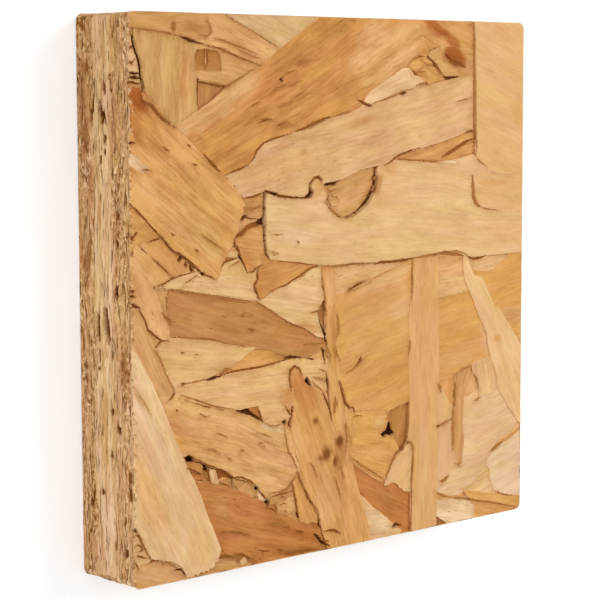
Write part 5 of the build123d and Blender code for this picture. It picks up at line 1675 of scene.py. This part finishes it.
class STRANDBOARD_OT_panel(Operator):
    """Make the pressed and sawn board"""

    bl_idname = "strand_board.make_panel"
    bl_label = "Make the panel"

    def execute(self, context):
        sizes = context.scene.strand_board_sizes
        tones = context.scene.strand_board_tones
        rng = np.random.default_rng(sizes.seed)
        noise = PlaneNoise(rng)
        line = sawn_line(sizes.edge_step / MM)
        arris = worn_arris(line.run, CHIPS + small_chips(rng, SIDE, *TOP_CHIPS), noise)
        back_arris = worn_arris(line.run, small_chips(rng, 4 * SIDE, *BACK_CHIPS), noise)
        cracks = [Gap(kind.tone, kind.depth, crack_outline(path, kind.width))
                  for kind in CRACKS for path in kind.paths]
        top_field = StrandField(STRANDS, cracks + GAPS, sizes, rng)
        back_field = StrandField(back_strands(rng), [], sizes, rng, BACK_THINNING)
        top = top_field.patch(moved_in(line, arris.inset), STAINS, rng)
        back = back_field.patch(moved_in(line, back_arris.inset), {}, rng)
        gaps = EDGE_GAPS + [gap for side in (1, 2, 3) for gap in hidden_gaps(rng, side)]
        band = sawn_band(line, arris, back_arris, gaps, noise, sizes)

        mesh, edge_corners = self.surface(top, back, band)
        self.store_points(mesh, top, back, band)

        palette = {name: np.array(getattr(tones, name)[:]) for name in StrandTones.__annotations__}
        top_tones = top_field.tones(top, palette, STAINS, rng)
        back_tones = back_field.tones(back, palette, {}, rng)[:, ::-1]
        edge_tones = np.tile(np.append(palette["edge_mid"], 1.0), (edge_corners, 1))
        corner_tones(mesh, "tone", [top_tones, back_tones, edge_tones])

        # Each edge face takes its run from its own column, so the last column doesn't wrap round
        heights = np.vstack([-back_arris.inset, band.up, THICKNESS + arris.inset])
        edge_up = quads(heights)
        column = line.run[1] - line.run[0]
        edge_run = np.stack([line.run, line.run, line.run + column, line.run + column], 1)
        edge_run = np.tile(edge_run, (len(heights) - 1, 1))
        corner_map(mesh, "grain", [top_field.grain_map(top), back_field.grain_map(back)[:, ::-1],
                                   np.stack([edge_run, edge_up], 2)])
        corner_map(mesh, "OFBake", [
            bake_face(top.points[top.triangles], BAKE_TOP, BAKE_TOP_SCALE),
            bake_face(back.points[back.triangles[:, ::-1]], BAKE_BACK, BAKE_BACK_SCALE),
            bake_edge(edge_run, edge_up)])

        group = grain_group()
        mesh.materials.append(face_material(group, tones))
        mesh.materials.append(edge_material(group, tones))
        mesh.update()
        if mesh.validate():
            raise RuntimeError("the board's surface has faces that can't be kept")
        board = bpy.data.objects.new("osb_panel_surface", mesh)
        context.scene.collection.objects.link(board)
        self.smooth(context, board)
        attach(board, "root")
        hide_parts("osb_panel")
        return {"FINISHED"}

    @staticmethod
    def surface(top, back, band):
        """The closed mesh of both faces and the sawn edges, and how many corners its edge faces have."""
        top_points = np.column_stack([top.points, THICKNESS - settled(top.depth)])
        back_points = np.column_stack([back.points, settled(back.depth)])
        points = fitted(np.concatenate([top_points, back_points, band.points.reshape(-1, 3)]))
        triangles = np.concatenate([top.triangles, back.triangles[:, ::-1] + len(top.points)])
        rim = np.arange(band.up.shape[1])
        grid = len(top.points) + len(back.points) + np.arange(band.up.size).reshape(band.up.shape)
        edge_faces = quads(np.vstack([len(top.points) + rim, grid, rim]))
        mesh = bpy.data.meshes.new("osb_panel_surface")
        mesh.from_pydata(points * MM, [], triangles.tolist() + edge_faces.tolist())
        sawn = np.arange(len(triangles) + len(edge_faces)) >= len(triangles)
        mesh.polygons.foreach_set("material_index", sawn.astype(np.int32))
        return mesh, edge_faces.size

    @staticmethod
    def store_points(mesh, top, back, band):
        """Stores the darkness of seams and gaps, which is partly painted shade, the painted soft shade, rims,
        wear and cut ends at every point.
        """
        plain = np.zeros(band.up.size)
        on_edge = {"seam": band.dark.ravel(), "shade": plain, "rim": plain, "worn": plain}
        for name, values in on_edge.items():
            point_values(mesh, name, [getattr(top, name), getattr(back, name), values])
        on_faces = np.zeros(len(top.points) + len(back.points))
        point_values(mesh, "end_grain", [on_faces, band.cut.ravel()])

    @staticmethod
    def smooth(context, board):
        """Smooth shading that keeps the steps between strands sharp."""
        bpy.ops.object.select_all(action="DESELECT")
        board.select_set(True)
        context.view_layer.objects.active = board
        bpy.ops.object.shade_smooth_by_angle(angle=SHARP_ANGLE)


# The camera, in metres: where it stands, the point it looks at and the way that is up in the picture
CAMERA_PLACE = (-0.24917, 0.03621, 0.28232)
CAMERA_TARGET = (-0.00428, -0.00311, 0.0075)
CAMERA_UP = (0.07319, 0.99434, -0.07706)
CAMERA_CLIP = 0.01
SENSOR_WIDTH = 36.0
# Shift of the lens right and up, as shares of the picture
LENS_SHIFT = (-0.0008, 0.0008)

KEY_PLACE = (0.42, 0.22, 0.55)
FILL_PLACE = (-0.52, 0.08, 0.1)
LAMP_SIZE = 0.35
FLOOR_SIZE = 6.0
FLOOR_PAINT = (0.82, 0.82, 0.82, 1.0)
FLOOR_GLOW = 0.42
WHITE = (1.0, 1.0, 1.0, 1.0)


class STRANDBOARD_OT_stage(Operator):
    """Make the white floor, the soft light and the camera"""

    bl_idname = "strand_board.make_stage"
    bl_label = "Make the stage"

    def execute(self, context):
        settings = context.scene.strand_board_stage
        self.floor()
        self.sky(context.scene, settings)
        self.lamp("key", KEY_PLACE, settings.key_power)
        self.lamp("fill", FILL_PLACE, settings.fill_power)
        self.camera(context.scene, settings)
        context.scene.view_settings.view_transform = "Standard"
        return {"FINISHED"}

    @staticmethod
    def floor():
        bpy.ops.mesh.primitive_plane_add(size=FLOOR_SIZE, location=(0, 0, 0))
        floor = bpy.context.object
        floor.name = "white_floor"
        material, net = new_material("white_floor")
        rays = net.add("ShaderNodeLightPath").outputs
        seen = net.maths("MAXIMUM", rays["Is Camera Ray"], rays["Is Glossy Ray"])
        seen = net.maths("MAXIMUM", seen, rays["Is Transmission Ray"])
        plain = net.add("ShaderNodeBsdfDiffuse", {"Color": FLOOR_PAINT})
        glow = net.add("ShaderNodeEmission", {"Color": WHITE, "Strength": net.times(seen, FLOOR_GLOW)})
        both = net.add("ShaderNodeAddShader", {0: plain.outputs[0], 1: glow.outputs[0]})
        net.add("ShaderNodeOutputMaterial", {"Surface": both.outputs[0]})
        floor.data.materials.append(material)

    @staticmethod
    def sky(scene, settings):
        world = bpy.data.worlds.new("white_sky")
        world.use_nodes = True
        world.node_tree.nodes.clear()
        net = NodeNet(world.node_tree)
        seen = net.add("ShaderNodeLightPath").outputs["Is Camera Ray"]
        lit = net.add("ShaderNodeBackground", {"Color": WHITE, "Strength": settings.sky_strength})
        shown = net.add("ShaderNodeBackground", {"Color": WHITE, "Strength": 1.0})
        either = net.add("ShaderNodeMixShader", {0: seen, 1: lit.outputs[0], 2: shown.outputs[0]})
        net.add("ShaderNodeOutputWorld", {"Surface": either.outputs[0]})
        scene.world = world

    @staticmethod
    def lamp(name, place, power):
        light = bpy.data.lights.new(name, "AREA")
        light.energy = power
        light.size = LAMP_SIZE
        lamp = bpy.data.objects.new(name, light)
        lamp.location = place
        lamp.rotation_euler = (-Vector(place)).to_track_quat("-Z", "Y").to_euler()
        bpy.context.scene.collection.objects.link(lamp)

    @staticmethod
    def camera(scene, settings):
        data = bpy.data.cameras.new("camera")
        data.lens = settings.lens
        data.sensor_width = SENSOR_WIDTH
        data.shift_x, data.shift_y = LENS_SHIFT
        data.clip_start = CAMERA_CLIP
        camera = bpy.data.objects.new("camera", data)
        back = (Vector(CAMERA_PLACE) - Vector(CAMERA_TARGET)).normalized()
        right = Vector(CAMERA_UP).cross(back).normalized()
        turned = Matrix((right, back.cross(right), back)).transposed()
        camera.matrix_world = Matrix.Translation(CAMERA_PLACE) @ turned.to_4x4()
        scene.collection.objects.link(camera)
        scene.camera = camera


class STRANDBOARD_PT_sidebar(Panel):
    """Lists the board's colours, sizes and steps"""

    bl_label = "Strand Board"
    bl_idname = "STRANDBOARD_PT_sidebar"
    bl_space_type = "VIEW_3D"
    bl_region_type = "UI"
    bl_category = "Strand Board"

    def draw(self, context):
        scene = context.scene
        for group in (scene.strand_board_tones, scene.strand_board_sizes, scene.strand_board_stage):
            box = self.layout.box()
            for name in type(group).__annotations__:
                box.prop(group, name)
        self.layout.operator(STRANDBOARD_OT_panel.bl_idname)
        self.layout.operator(STRANDBOARD_OT_stage.bl_idname)


CLASSES = (StrandTones, PanelSizes, StageSettings, STRANDBOARD_OT_panel, STRANDBOARD_OT_stage,
           STRANDBOARD_PT_sidebar)


def register():
    for made in CLASSES:
        bpy.utils.register_class(made)
    bpy.types.Scene.strand_board_tones = PointerProperty(type=StrandTones)
    bpy.types.Scene.strand_board_sizes = PointerProperty(type=PanelSizes)
    bpy.types.Scene.strand_board_stage = PointerProperty(type=StageSettings)


def unregister():
    del bpy.types.Scene.strand_board_stage
    del bpy.types.Scene.strand_board_sizes
    del bpy.types.Scene.strand_board_tones
    for made in reversed(CLASSES):
        bpy.utils.unregister_class(made)


def main():
    register()
    bpy.ops.strand_board.make_panel()
    bpy.ops.strand_board.make_stage()


if __name__ == "__main__":
    main()
